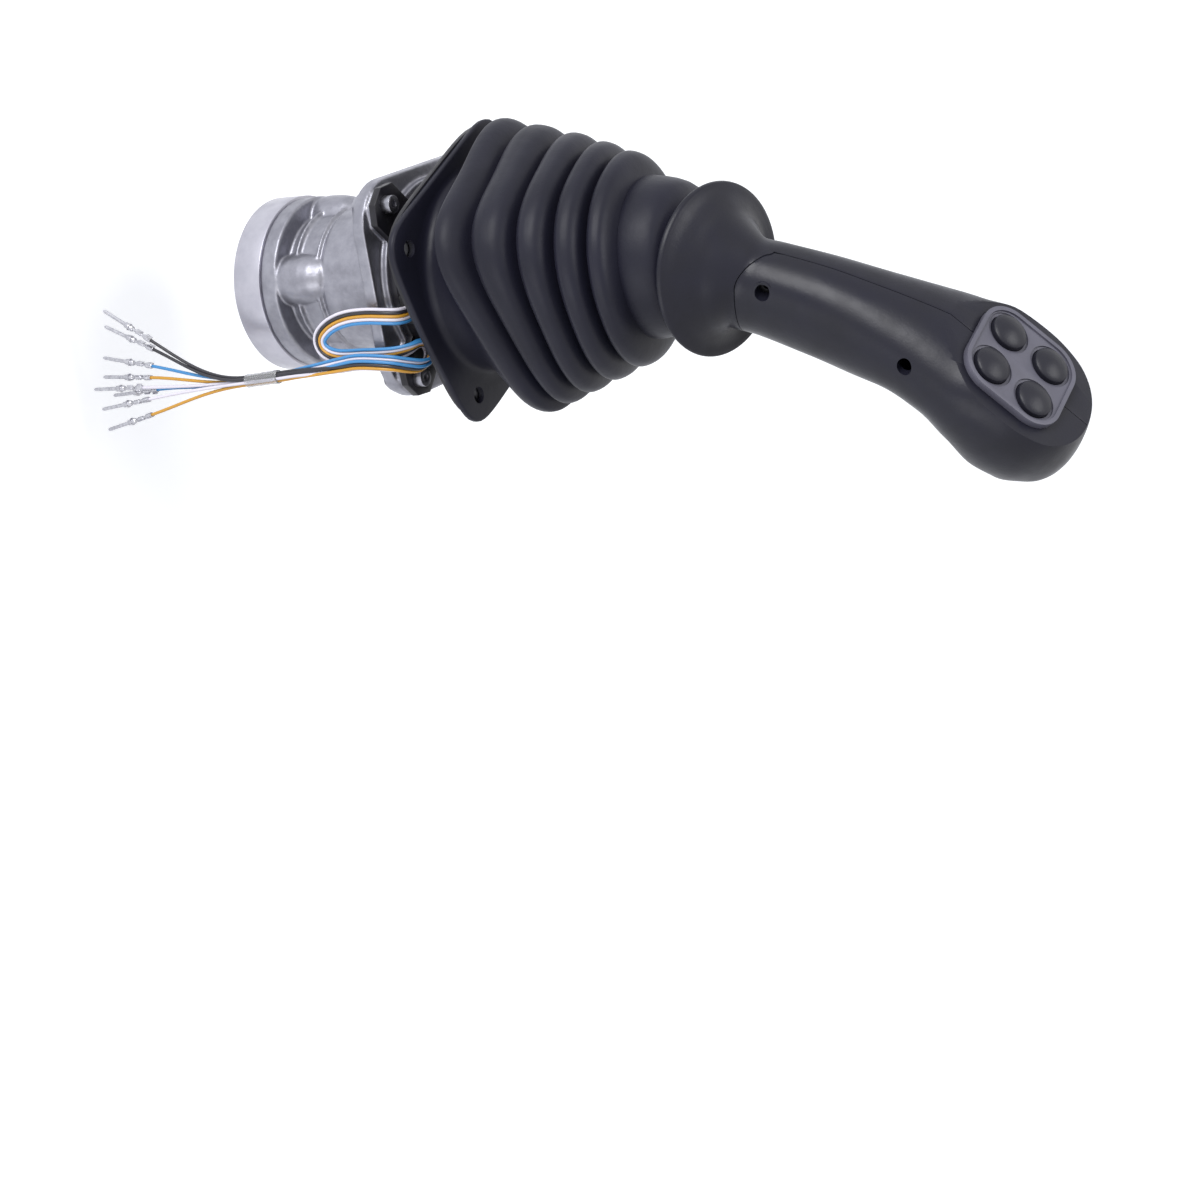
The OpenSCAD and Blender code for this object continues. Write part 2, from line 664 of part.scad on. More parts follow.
// A section of the grip: its axis leans by lean towards +X and tilts by tilt towards -Y.
function section(x, z, lean, a, b, tilt = 0, n = 2.3) =
    [for (i = [0 : grip_sides - 1])
        let(t = 360 * i / grip_sides,
            k = 1 / pow(pow(abs(cos(t)), n) + pow(abs(sin(t)), n), 1 / n),
            p = [a * k * cos(t), b * k * sin(t), 0],
            q = [p.x, p.y * cos(tilt), p.y * sin(tilt)])
        [x + q.x * cos(lean) + q.z * sin(lean), q.y, z - q.x * sin(lean) + q.z * cos(lean)]];
function skirt_rings(list) = [for (s = list) section(s[0], s[1], s[2], skirt_r * s[3], skirt_r * s[3], s[4], 2)];
function grip_rings(inset) = [for (s = GRIP) section(s[0], s[1], s[2], s[3] - inset, s[4] - inset)];

module grip_solid(inset = 0) {
    solid_loft(concat(skirt_rings(inset > 0 ? SKIRT_IN : SKIRT), grip_rings(inset)));
}

module at_panel() {
    translate([panel_x, 0, panel_z]) rotate([0, panel_lean, 0]) children();
}

// Everything above the panel's seat, which trims the head flat
module panel_cut() {
    at_panel() translate([0, 0, -panel_seat]) linear_extrude(30) square(80, center = true);
}

module grip_shell() {
    difference() {
        grip_solid();
        panel_cut();
        difference() {
            grip_solid(shell_t);
            at_panel() translate([0, 0, -panel_seat - shell_t]) linear_extrude(60) square(90, center = true);
        }
        at_panel() translate([0, 0, -20]) linear_extrude(30) rounded_square(panel_w - 4.8, panel_corner - 2.4);
    }
}

// The region of the cover: the -Y half of the grip above a rounded lower end
module cover_region(grow = 0) {
    r = cover_corner + grow;
    back = cover_end + r * [-cos(cover_back), sin(cover_back)];
    low = cover_end - r * [sin(cover_slope), cos(cover_slope)];
    translate([0, grow - part_gap / 2, 0]) rotate([90, 0, 0]) linear_extrude(60) {
        translate(cover_end) circle(r);
        polygon([cover_end, back, back + 140 * [sin(cover_back), cos(cover_back)], [200, 200],
                 low + 140 * [cos(cover_slope), -sin(cover_slope)], low]);
    }
}

module cover_screw_axis(i) {
    translate([cover_screws_at[i].x, 0, cover_screws_at[i].y]) rotate([90, 0, 0]) children();
}

module grip_body() {
    color([0.2, 0.2, 0.24]) difference() {
        union() {
            difference() {
                grip_shell();
                cover_region(part_gap);
            }
            intersection() {
                grip_solid(1);
                for (i = [0, 1]) cover_screw_axis(i) translate([0, 0, -40]) cylinder(h = 39, r = screw_boss);
            }
        }
        for (i = [0, 1]) cover_screw_axis(i) translate([0, 0, -10]) cylinder(h = 20, d = cover_screw_d - 1);
        translate([0, 0, bend_z]) rotate([0, grip_lean, 0]) cylinder(h = rod_end + 4, d = rod_d + 0.4);
    }
}

module grip_cover() {
    color([0.2, 0.2, 0.24]) difference() {
        union() {
            intersection() {
                grip_shell();
                cover_region();
            }
            intersection() {
                grip_solid(1);
                for (i = [0, 1]) cover_screw_axis(i) translate([0, 0, 1]) cylinder(h = 39, r = screw_boss);
            }
        }
        for (i = [0, 1]) cover_screw_axis(i) {
            translate([0, 0, -1]) cylinder(h = 60, d = cover_screw_d + 0.4);
            translate([0, 0, 8]) cylinder(h = 60, d = 6);
        }
    }
}

module cover_screws() {
    color("dimgray") for (i = [0, 1]) cover_screw_axis(i) {
        translate([0, 0, -8]) cylinder(h = 16, d = cover_screw_d - 1);
        translate([0, 0, 8]) difference() {
            cylinder(h = 2.4, d = 5.6);
            translate([0, 0, 1]) cylinder(h = 3, d = 2.5, $fn = 6);
        }
    }
}

// A place s along the leaned part of the lever
module at_rod(s) {
    translate([0, 0, bend_z]) rotate([0, grip_lean, 0]) translate([0, 0, s]) children();
}

module grip_core() {
    color("silver") difference() {
        union() {
            at_rod(rod_end - 16) cylinder(h = 19, d = rod_d + 7);
            intersection() {
                at_rod(rod_end - 8) cylinder(h = 7, d = 50);
                grip_solid(shell_t + 0.1);
            }
        }
        at_rod(rod_end - 17) cylinder(h = 17, d = rod_d);
        at_rod(rod_end - 17) cylinder(h = 30, d = 8);
    }
}

// ---------- button panel ----------

button_spots = [[1, 1], [1, -1], [-1, 1], [-1, -1]] * button_pitch / 2;

module button_panel() {
    color([0.33, 0.33, 0.37]) at_panel() difference() {
        union() {
            translate([0, 0, -panel_seat]) linear_extrude(panel_seat) rounded_square(panel_w, panel_corner);
            translate([0, 0, -panel_seat - 6]) linear_extrude(6 + eps)
                rounded_square(panel_w - 6.4, panel_corner - 3.2);
            difference() {
                linear_extrude(panel_lip * 0.5) rounded_square(panel_w, panel_corner);
                translate([0, 0, -1]) linear_extrude(5) rounded_square(panel_w - 2.4, panel_corner - 1.2);
            }
        }
        for (p = button_spots) translate([p.x, p.y, 0]) {
            translate([0, 0, -30]) cylinder(h = 40, d = button_d + 2 * button_gap);
            translate([0, 0, -0.6]) cylinder(h = 5, d = ring_groove_d);
            translate([0, 0, -30]) cylinder(h = 30 - 1.4, d = button_flange_d + 2 * button_gap);
        }
        translate([0, 0, -panel_seat - 7]) linear_extrude(4.6) rounded_square(panel_w - 9, panel_corner - 4.5);
    }
}

module button(i) {
    p = button_spots[i];
    stem = 1.8;
    color([0.17, 0.17, 0.19]) at_panel() translate([p.x, p.y, 0]) {
        intersection() {
            translate([0, 0, -2.9 - button_travel]) cylinder(h = 20, d = button_d);
            translate([0, 0, button_h - 15]) sphere(r = 15, $fn = 96);
        }
        translate([0, 0, -2.9 - button_travel]) cylinder(h = 1.45, d = button_flange_d);
        translate([0, 0, -2.9 - button_travel - stem]) cylinder(h = stem + eps, d = 4);
    }
}

switch_top = -2.9 - button_travel - 1.8 - button_travel - 0.1;

module micro_switches() {
    color("black") at_panel() for (p = button_spots) translate([p.x, p.y, switch_top - switch_h]) {
        translate([-switch_w / 2, -switch_w / 2, 0]) cube([switch_w, switch_w, switch_h - 0.6]);
        cylinder(h = switch_h, d = 4.4);
    }
}

module switch_board() {
    color("darkgreen") at_panel() translate([0, 0, switch_top - switch_h - board_t])
        linear_extrude(board_t) rounded_square(board_w, 6);
}

// ---------- wires ----------

module wire_run() {
    color("lightgray") tube_along(RUN, bundle_r);
}

module wire_sleeve() {
    color("white") tube_along([sleeve_top, mid(sleeve_top, sleeve_bot), sleeve_bot], bundle_r + 0.4, 12);
}

// A wire's tail leaves the sleeve in its own place and runs into the crimp of its pin.
function tail(i) =
    let(way = unit(sleeve_bot - sleeve_top), a = 360 / 7 * PLACES[i] + 6,
        out = PLACES[i] < 0 ? [0, 0, 0] : wire_ring_r * [cos(a), sin(a), 0],
        start = sleeve_bot + out - (out * way) * way + 0.05 * way, end = TIPS[i], back = -unit(LEANS[i]))
    [start, start + 5 * way, mid(start + 9 * way, end + 9 * back), end + 4 * back, end];

module wire(i, shade) {
    color(shade) tube_along(tail(i), wire_d / 2);
}

module contact_pin(i) {
    base = TIPS[i];
    axis = unit(LEANS[i]);
    azimuth = atan2(axis.y, axis.x);
    translate(base) rotate([0, acos(axis.z), azimuth]) {
        cylinder(h = 3.6, r = 1.35);
        translate([0, 0, 3.4]) cylinder(h = 4, r = 1);
        translate([0, 0, 7.2]) cylinder(h = 5, r = 1.35);
        translate([0, 0, 9]) cylinder(h = 0.9, r = 1.9);
        translate([0, 0, 12]) cylinder(h = pin_l - 12.8, r = 0.8);
        translate([0, 0, pin_l - 0.8]) sphere(r = 0.8, $fn = 24);
    }
}

module contact_pins() {
    color("silver") for (i = [0 : 7]) contact_pin(i);
}

port_block();
port_seals();
valve_body();
body_bolts();
top_plate();
plate_screws();
plunger_bushes();
plunger_seals();
lower_yoke();
spacer_ring();
spacer_screws();
boot_plate();
boot_lower();
wire_grommet();
wire_run();
wire_sleeve();
contact_pins();
wire(0, "black");  // wire_1
wire(1, "black");  // wire_2
wire(2, "dodgerblue");  // wire_3
wire(3, "gold");  // wire_4
wire(4, "white");  // wire_5
wire(5, "dodgerblue");  // wire_6
wire(6, "white");  // wire_7
wire(7, "gold");  // wire_8
translate([plunger_pitch, 0, 0]) spring();  // spring_front
translate([-plunger_pitch, 0, 0]) spring();  // spring_back
translate([0, plunger_pitch, 0]) spring();  // spring_left
translate([0, -plunger_pitch, 0]) spring();  // spring_right
translate([plunger_pitch, 0, 0]) plunger();  // plunger_front
translate([-plunger_pitch, 0, 0]) plunger();  // plunger_back
translate([0, plunger_pitch, 0]) plunger();  // plunger_left
translate([0, -plunger_pitch, 0]) plunger();  // plunger_right
translate([plunger_pitch, 0, 0]) spool();  // spool_front
translate([-plunger_pitch, 0, 0]) spool();  // spool_back
translate([0, plunger_pitch, 0]) spool();  // spool_left
translate([0, -plunger_pitch, 0]) spool();  // spool_right
joint_cross();
swash_plate();
lock_nut();
lever_rod();
boot_upper();
boot_collar();
grip_body();
grip_cover();
cover_screws();
grip_core();
button_panel();
button(0);  // button_1
button(1);  // button_2
button(2);  // button_3
button(3);  // button_4
switch_board();
micro_switches();
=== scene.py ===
"""A hydraulic pilot joystick: cast valve, rubber boot, bent hand grip with four buttons, and eight wires."""
import math

import bpy
import numpy as np
from mathutils import Matrix, Vector


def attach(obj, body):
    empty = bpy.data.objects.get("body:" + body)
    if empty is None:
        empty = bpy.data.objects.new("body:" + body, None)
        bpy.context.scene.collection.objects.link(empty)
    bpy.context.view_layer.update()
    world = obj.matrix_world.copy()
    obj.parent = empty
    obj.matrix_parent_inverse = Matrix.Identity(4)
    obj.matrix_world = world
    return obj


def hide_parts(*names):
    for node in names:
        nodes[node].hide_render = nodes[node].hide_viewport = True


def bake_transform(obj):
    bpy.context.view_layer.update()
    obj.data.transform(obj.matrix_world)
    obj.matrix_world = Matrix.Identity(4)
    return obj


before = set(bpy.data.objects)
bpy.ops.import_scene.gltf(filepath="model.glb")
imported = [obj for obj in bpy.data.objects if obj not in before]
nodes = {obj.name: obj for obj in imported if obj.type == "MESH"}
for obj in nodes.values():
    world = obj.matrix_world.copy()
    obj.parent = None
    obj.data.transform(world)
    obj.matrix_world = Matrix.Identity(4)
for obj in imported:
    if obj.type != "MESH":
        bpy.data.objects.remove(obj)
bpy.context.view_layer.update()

MM = 0.001
TAU = 2 * math.pi


# ---------- small tools ----------

def cosd(angle):
    return math.cos(math.radians(angle))


def sind(angle):
    return math.sin(math.radians(angle))


def tand(angle):
    return math.tan(math.radians(angle))


def rows_through(table, steps):
    """Rows between the table's rows, on smooth curves that never overshoot them."""
    table = np.array(table, float)
    step = np.diff(table, axis=0)
    before, after = step[:-1], step[1:]
    same_way = before * after > 0
    inner = np.where(same_way, 2 * before * after / np.where(same_way, before + after, 1), 0)
    slope = np.vstack([step[:1], inner, step[-1:]])
    made = []
    for i in range(len(table) - 1):
        for k in range(steps):
            t = k / steps
            made.append((2 * t**3 - 3 * t**2 + 1) * table[i] + (t**3 - 2 * t**2 + t) * slope[i]
                        + (3 * t**2 - 2 * t**3) * table[i + 1] + (t**3 - t**2) * slope[i + 1])
    made.append(table[-1])
    return np.array(made)


def value_at(table, t):
    """A table of (t, value) rows read at t, with smooth curves between the rows."""
    table = np.array(table, float)
    fine = rows_through(table, 12)
    return float(np.interp(t, fine[:, 0], fine[:, 1]))


def squareness(angle, n):
    """How far a rounded square's rim lies out at an angle, where its half width is 1."""
    return (abs(math.cos(angle)) ** n + abs(math.sin(angle)) ** n) ** (-1 / n)


def eased(value, start, over):
    """0 before start and 1 from start + over on, with a smooth rise between them."""
    t = min(max((value - start) / over, 0), 1)
    return t * t * (3 - 2 * t)


def only_nothing():
    """Object mode with nothing selected."""
    if bpy.context.mode != "OBJECT":
        bpy.ops.object.mode_set(mode="OBJECT")
    bpy.ops.object.select_all(action="DESELECT")


def only(piece):
    """Object mode with this piece alone selected and active."""
    only_nothing()
    piece.select_set(True)
    bpy.context.view_layer.objects.active = piece


def in_edit(piece, work):
    """Does the work in edit mode, with the whole mesh selected at first."""
    only(piece)
    bpy.ops.object.mode_set(mode="EDIT")
    bpy.ops.mesh.select_all(action="SELECT")
    work()
    bpy.ops.object.mode_set(mode="OBJECT")


def apply_all(piece):
    """Applies the piece's modifiers, in their order."""
    only(piece)
    for modifier in list(piece.modifiers):
        bpy.ops.object.modifier_apply(modifier=modifier.name)


def settle(piece):
    """Puts the piece's place into its mesh, so that the object itself sits at the origin."""
    only(piece)
    bpy.ops.object.transform_apply(location=True, rotation=True, scale=True)


def linked(name, data):
    """A new object of the scene with this mesh, curve, camera or lamp."""
    made = bpy.data.objects.new(name, data)
    bpy.context.scene.collection.objects.link(made)
    return made


def wrapped(name, rings, closed=True):
    """A grid wrapped round the rings, given in millimetres, with its ends filled or its last ring on its first."""
    rings = np.array(rings, float) * MM
    count, sides = rings.shape[:2]
    only_nothing()
    bpy.ops.mesh.primitive_grid_add(x_subdivisions=sides, y_subdivisions=count - 1, size=1)
    piece = bpy.context.object
    piece.name = piece.data.name = name
    seamed = np.concatenate([rings, rings[:, :1]], axis=1)
    piece.data.vertices.foreach_set("co", seamed.reshape(-1))

    def close():
        bpy.ops.mesh.remove_doubles(threshold=1e-7)
        if closed:
            bpy.ops.mesh.select_all(action="DESELECT")
            bpy.ops.mesh.select_non_manifold()
            bpy.ops.mesh.fill_holes(sides=0)
            bpy.ops.mesh.select_all(action="SELECT")
        bpy.ops.mesh.normals_make_consistent(inside=False)

    in_edit(piece, close)
    return piece


def turned(name, profile, sides=48):
    """A turned piece about Z from (radius, height) rows in millimetres."""
    angles = np.arange(sides) * TAU / sides
    rings = [[(r * math.cos(a), r * math.sin(a), z) for a in angles] for r, z in profile]
    return wrapped(name, rings)


def drum(r, z_low, z_high, sides=64):
    """A plain cylinder about Z, in millimetres."""
    only_nothing()
    bpy.ops.mesh.primitive_cylinder_add(vertices=sides, radius=r * MM, depth=(z_high - z_low) * MM,
                                        location=(0, 0, (z_low + z_high) / 2 * MM))
    piece = bpy.context.object
    settle(piece)
    return piece


def block(size, middle):
    """A plain box, in millimetres."""
    only_nothing()
    bpy.ops.mesh.primitive_cube_add(size=1)
    piece = bpy.context.object
    piece.scale = [v * MM for v in size]
    piece.location = [v * MM for v in middle]
    settle(piece)
    return piece


def moved(piece, matrix):
    """The piece with its mesh moved, and the object itself still at the origin."""
    piece.data.transform(matrix)
    piece.data.update()
    return piece


def at_mm(x, y, z):
    """The move that takes the origin to this point, in millimetres."""
    return Matrix.Translation((x * MM, y * MM, z * MM))


def joined_by(piece, tool, how="DIFFERENCE"):
    """Cuts the piece with the tool, or keeps only what they share, or adds the tool."""
    boolean = piece.modifiers.new("cut", "BOOLEAN")
    boolean.operation = how
    boolean.solver = "EXACT"
    boolean.object = tool
    apply_all(piece)
    bpy.data.objects.remove(tool, do_unlink=True)
    return piece


def prism(outline, low, high):
    """A closed prism in the XZ plane from y low to y high, in millimetres."""
    rings = [[(x, y, z) for x, z in outline] for y in (low, high)]
    return wrapped("prism", rings)


def softened(piece, width, segments=2, angle=32):
    """Rounded edges, as a die, a mould or a deburring wheel leaves them."""
    bevel = piece.modifiers.new("edges", "BEVEL")
    bevel.width = width * MM
    bevel.segments = segments
    bevel.limit_method = "ANGLE"
    bevel.angle_limit = math.radians(angle)
    bevel.use_clamp_overlap = True
    bevel.miter_outer = "MITER_ARC"
    apply_all(piece)
    return piece


def smooth(piece, angle=32):
    """Smooth shading, with edges over this many degrees kept sharp."""
    only(piece)
    bpy.ops.object.shade_smooth_by_angle(angle=math.radians(angle))
    return piece


def copy_of(node, name):
    """The CAD node's own shape as a new piece with its loose triangles merged."""
    piece = linked(name, nodes[node].data.copy())
    piece.data.materials.clear()

    def merge():
        bpy.ops.mesh.remove_doubles(threshold=1e-6)
        bpy.ops.mesh.dissolve_limited(angle_limit=math.radians(0.6))

    in_edit(piece, merge)
    return piece


def finished(piece, body, slot, material, *replaced):
    """The piece with its material, the body that it rides on, and the CAD nodes that it stands in for; the slot is not
    used.
    """
    piece.data.materials.clear()
    piece.data.materials.append(material)
    if body:
        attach(piece, body)
    if replaced:
        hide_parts(*replaced)
    return piece


# ---------- materials ----------

def colour(hexadecimal):
    """An sRGB hex value as the linear colour that a shader takes."""
    channels = [int(hexadecimal[i:i + 2], 16) / 255 for i in (1, 3, 5)]
    return tuple(c / 12.92 if c <= 0.04045 else ((c + 0.055) / 1.055) ** 2.4 for c in channels) + (1,)


def add(tree, kind, inputs=None, **settings):
    """A new shader node. An input takes a plain value, or a socket to link from."""
    made = tree.nodes.new(kind)
    for name, value in settings.items():
        setattr(made, name, value)
    for name, value in (inputs or {}).items():
        if isinstance(value, bpy.types.NodeSocket):
            tree.links.new(value, made.inputs[name])
        else:
            made.inputs[name].default_value = value
    return made


def per_mm(size):
    """The texture scale at which one cell is about size millimetres."""
    return 1 / (size * MM)


def material(name, tint, roughness, metallic=0.0, second=None, patch_mm=20.0, grain_mm=0.0, grain_depth=0.0,
             swell_mm=0.0, swell_depth=0.0, rough_spread=0.0, coat=0.0, specular=0.5, **shader):
    """A finish with slow patches between two tints, a fine grain, and slow waves in the surface."""
    made = bpy.data.materials.new(name)
    made.use_nodes = True
    made.diffuse_color = colour(tint)
    tree = made.node_tree
    tree.nodes.clear()
    place = add(tree, "ShaderNodeTexCoord").outputs["Object"]
    inputs = {"Metallic": metallic, "Base Color": colour(tint), "Roughness": roughness}
    patches = add(tree, "ShaderNodeTexNoise", {"Vector": place, "Scale": per_mm(patch_mm), "Detail": 4.0,
                                               "Roughness": 0.6}).outputs["Fac"]
    if second:
        ramp = add(tree, "ShaderNodeMapRange", {"Value": patches, "From Min": 0.35, "From Max": 0.65})
        mix = add(tree, "ShaderNodeMix", data_type="RGBA")
        tree.links.new(ramp.outputs["Result"], mix.inputs["Factor"])
        colour_a, colour_b, mixed_colour = mix.inputs[6], mix.inputs[7], mix.outputs[2]
        colour_a.default_value = colour(tint)
        colour_b.default_value = colour(second)
        inputs["Base Color"] = mixed_colour
    if rough_spread:
        spread = add(tree, "ShaderNodeMapRange", {"Value": patches, "From Min": 0.3, "From Max": 0.7,
                                                  "To Min": roughness - rough_spread,
                                                  "To Max": roughness + rough_spread})
        inputs["Roughness"] = spread.outputs["Result"]
    normal = None
    for size, depth in ((swell_mm, swell_depth), (grain_mm, grain_depth)):
        if size and depth:
            height = add(tree, "ShaderNodeTexNoise", {"Vector": place, "Scale": per_mm(size), "Detail": 3.0,
                                                      "Roughness": 0.55}).outputs["Fac"]
            bump = {"Height": height, "Distance": depth * MM, "Strength": 1.0}
            if normal:
                bump["Normal"] = normal
            normal = add(tree, "ShaderNodeBump", bump).outputs["Normal"]
    if normal:
        inputs["Normal"] = normal
    body = add(tree, "ShaderNodeBsdfPrincipled", inputs)
    body.inputs["Specular IOR Level"].default_value = specular
    body.inputs["Coat Weight"].default_value = coat
    for socket, value in shader.items():
        body.inputs[socket.replace("_", " ")].default_value = value
    add(tree, "ShaderNodeOutputMaterial", {"Surface": body.outputs["BSDF"]})
    return made


# Turned aluminium: fine satin with slow streaks
turned_aluminium = material("turned_aluminium", "#BAB9C2", 0.35, 1.0, second="#AEADB7", patch_mm=9,
                            grain_mm=0.35, grain_depth=0.012, rough_spread=0.05)
# Die-cast aluminium, tumbled: soft grey with a dull skin, pits and slow waves
cast_aluminium = material("cast_aluminium", "#9A9AA3", 0.43, 0.92, second="#878790", patch_mm=7,
                          grain_mm=0.7, grain_depth=0.05, swell_mm=5, swell_depth=0.2, rough_spread=0.08)
# Black zinc plate on steel: near black, half gloss, faintly mottled
black_zinc = material("black_zinc", "#1E1D24", 0.4, 0.3, second="#18171C", patch_mm=6, grain_mm=0.5,
                      grain_depth=0.01, rough_spread=0.07)
# Bright zinc on screws
bright_zinc = material("bright_zinc", "#B9BAC0", 0.28, 1.0, second="#A7A8AF", patch_mm=2, rough_spread=0.06)
# Dull zinc on the plate screws
dull_zinc = material("dull_zinc", "#9A9AA2", 0.34, 1.0, second="#83838B", patch_mm=2, rough_spread=0.06)
# Blackened steel on socket screws
black_oxide = material("black_oxide", "#2B2B2E", 0.42, 0.8, patch_mm=2, rough_spread=0.06)
# Bearing bronze
bronze = material("bronze", "#B08D57", 0.35, 1.0, patch_mm=3, rough_spread=0.05)
# Nitrile seal rubber
nitrile = material("nitrile", "#1A1A1C", 0.6, grain_mm=0.5, grain_depth=0.01)
# Ground and hardened steel
ground_steel = material("ground_steel", "#B4B6BC", 0.25, 1.0, patch_mm=3, rough_spread=0.05)
# Spring wire, shot-peened
spring_wire = material("spring_wire", "#8A8C92", 0.35, 1.0, patch_mm=2, rough_spread=0.05)
# Forged steel, phosphated
forged_steel = material("forged_steel", "#6B6C72", 0.5, 0.9, patch_mm=5, grain_mm=0.6, grain_depth=0.03)
# Moulded rubber of the boot: blue-black, matt, with a faint bloom on the surface
boot_rubber = material("boot_rubber", "#1D1D29", 0.45, second="#181823", patch_mm=26, grain_mm=0.9,
                       grain_depth=0.035, swell_mm=14, swell_depth=0.25, rough_spread=0.06, specular=0.22)
# Soft-skinned grip plastic: dark grey-blue with a leathery fine grain and rubbed patches
grip_skin = material("grip_skin", "#1B1B26", 0.36, second="#171720", patch_mm=16, grain_mm=0.8,
                     grain_depth=0.03, swell_mm=6, swell_depth=0.09, rough_spread=0.09, specular=0.26)
# Spark-eroded ABS of the button panel: mid grey, dry
panel_abs = material("panel_abs", "#555460", 0.46, second="#4E4D58", patch_mm=12, grain_mm=0.45,
                     grain_depth=0.02, rough_spread=0.04)
# Polyamide button caps: near black with a coarse spark grain
button_nylon = material("button_nylon", "#1B1B24", 0.38, patch_mm=8, grain_mm=0.7, grain_depth=0.05,
                        rough_spread=0.05, specular=0.3)
# Glass-filled nylon
black_nylon = material("black_nylon", "#232326", 0.5, grain_mm=0.6, grain_depth=0.02)
# Solder-masked circuit board
board_green = material("board_green", "#1E6B3A", 0.3, coat=0.4)
# Tin plate on brass contacts
tin_plate = material("tin_plate", "#C9C9CE", 0.24, 1.0, second="#A9A9B0", patch_mm=1.4, rough_spread=0.08)
# Heat-shrunk clear sleeve
clear_sleeve_pvc = material("clear_sleeve_pvc", "#F2F3F5", 0.16, Transmission_Weight=0.9, IOR=1.45)
# PVC wire skins
wire_skins = {
    "black": material("black_pvc", "#26252C", 0.34, grain_mm=1.2, grain_depth=0.01),
    "blue": material("blue_pvc", "#3A7FB6", 0.34, grain_mm=1.2, grain_depth=0.01),
    "yellow": material("yellow_pvc", "#BF8B2C", 0.34, grain_mm=1.2, grain_depth=0.01),
    "white": material("white_pvc", "#CECAD5", 0.34, grain_mm=1.2, grain_depth=0.01),
}

# ---------- camera ----------

camera_data = bpy.data.cameras.new("camera")
camera_data.lens = 90
camera_data.sensor_width = 36
camera_data.shift_y = -0.25
camera_data.clip_start = 0.05
camera_data.clip_end = 20
camera = linked("camera", camera_data)
# The camera's own axes, and where it stands, in metres
right = Vector((0.3549, 0.4042, 0.8430)).normalized()
back = Vector((-0.4786, -0.6960, 0.5352)).normalized()
above = back.cross(right).normalized()
right = above.cross(back)
eye = Vector((-0.5347, -0.8038, 0.6686))
camera.matrix_world = Matrix(((right.x, above.x, back.x, eye.x), (right.y, above.y, back.y, eye.y),
                              (right.z, above.z, back.z, eye.z), (0, 0, 0, 1)))
bpy.context.scene.camera = camera

# ---------- wires ----------

WIRE_D = 1.3
WIRE_COUNT = 8
# The bundle's route from its grommet to the sleeve, a loop of slack included
RUN = [(-8.6, -37.5, -6), (-9.4, -41, -6), (-11, -44.4, -7.6), (-12.6, -46.2, -12), (-13.4, -46.6, -18),
       (-13.4, -46.6, -24), (-13, -46.8, -29), (-11.8, -47.2, -34.4), (-9.6, -48, -39.6), (-6.5, -49.4, -43.2),
       (-3.2, -50.8, -43.2), (-0.8, -51.8, -40.4), (0.6, -52.2, -36), (1, -52.2, -31), (1, -52.2, -25),
       (1.4, -51.6, -18), (2, -49.6, -11.8), (2.6, -46, -7.2), (3.6, -42, -5.4), (6.4, -38.6, -4.6),
       (10.6, -38.8, -4.6), (12.4, -42.6, -5), (10.8, -47.4, -5.6), (7.2, -51.8, -7.6), (3.4, -55.2, -12),
       (0.6, -57.2, -24), (1.4, -57.4, -34), (2.4, -57.8, -44), (3.4, -58, -54), (4.4, -58.4, -64)]
SLEEVE = [(4.4, -58.4, -64), (5.4, -58.8, -80)]
# Where each wire meets its contact, and the way that the contact points
PIN_BASES = [(-11.8, -51.4, -125.6), (-8.4, -53, -125), (-2, -55.6, -127.4), (2.8, -56.8, -130),
             (5.6, -59.6, -134), (8.4, -57.6, -129), (9.8, -62, -131.4), (16.4, -63.6, -132.4)]
PIN_WAYS = [(-11.6, 4.8, -20), (-9.8, 4, -22.6), (-4.6, 2, -27.4), (-1, 0.8, -26),
            (-0.6, -0.4, -26), (2.6, 0.8, -28), (3, -2, -28), (5.8, -2.4, -27.6)]
WIRE_TINTS = ["black", "black", "blue", "yellow", "white", "blue", "white", "yellow"]
# Each wire's place across the flat ribbon and through its two layers, in wire pitches
RIBBON_PLACES = [(-0.5, -0.55), (-1, 0.55), (2, 0.55), (0, 0.55), (1, 0.55), (0.5, -0.55), (-2, 0.55), (-1.5, -0.55)]
ACROSS_PITCH = WIRE_D + 0.03
THROUGH_PITCH = WIRE_D + 0.05
# Each wire's place in the round bundle in the sleeve, in sevenths of a turn, with one wire in the middle (-1)
SLEEVE_PLACES = [3, 4, 2, 1, -1, 0, 5, 6]
SLEEVE_RING_R = WIRE_D + 0.3
SLEEVE_RING_TURN = 6
# Across the ribbon at the grommet, and the way that its flat side faces at the sleeve
FIRST_ACROSS = (0.97, -0.22, 0)
OUTWARD = Vector((-0.391, -0.921, 0))
# Shares of the run at which the ribbon starts to turn over and to gather, and over how much of it each goes on
TURN_FROM, TURN_OVER = 0.36, 0.3
GATHER_FROM, GATHER_OVER = 0.72, 0.2
TAIL_STEPS = 24


def smooth_path(points, steps):
    """Points along a smooth line through the given ones."""
    points = [Vector(p) for p in points]
    made = []
    for i in range(len(points) - 1):
        a = points[max(i - 1, 0)]
        b, c = points[i], points[i + 1]
        d = points[min(i + 2, len(points) - 1)]
        for k in range(steps):
            t = k / steps
            made.append(0.5 * (2 * b + (c - a) * t + (2 * a - 5 * b + 4 * c - d) * t * t
                               + (3 * b - a - 3 * c + d) * t**3))
    made.append(points[-1])
    return made


def carried_frames(path, first_across):
    """The two directions across a path, carried along it without twisting."""
    across = Vector(first_across)
    frames = []
    for i in range(len(path)):
        along = (path[min(i + 1, len(path) - 1)] - path[max(i - 1, 0)]).normalized()
        across = (across - across.dot(along) * along).normalized()
        frames.append((across, along.cross(across)))
    return frames


bundle = smooth_path(RUN + [SLEEVE[1]], 6)
sleeve_way = (Vector(SLEEVE[1]) - Vector(SLEEVE[0])).normalized()
frames_along = carried_frames(bundle, FIRST_ACROSS)
end_across = frames_along[-1][0]
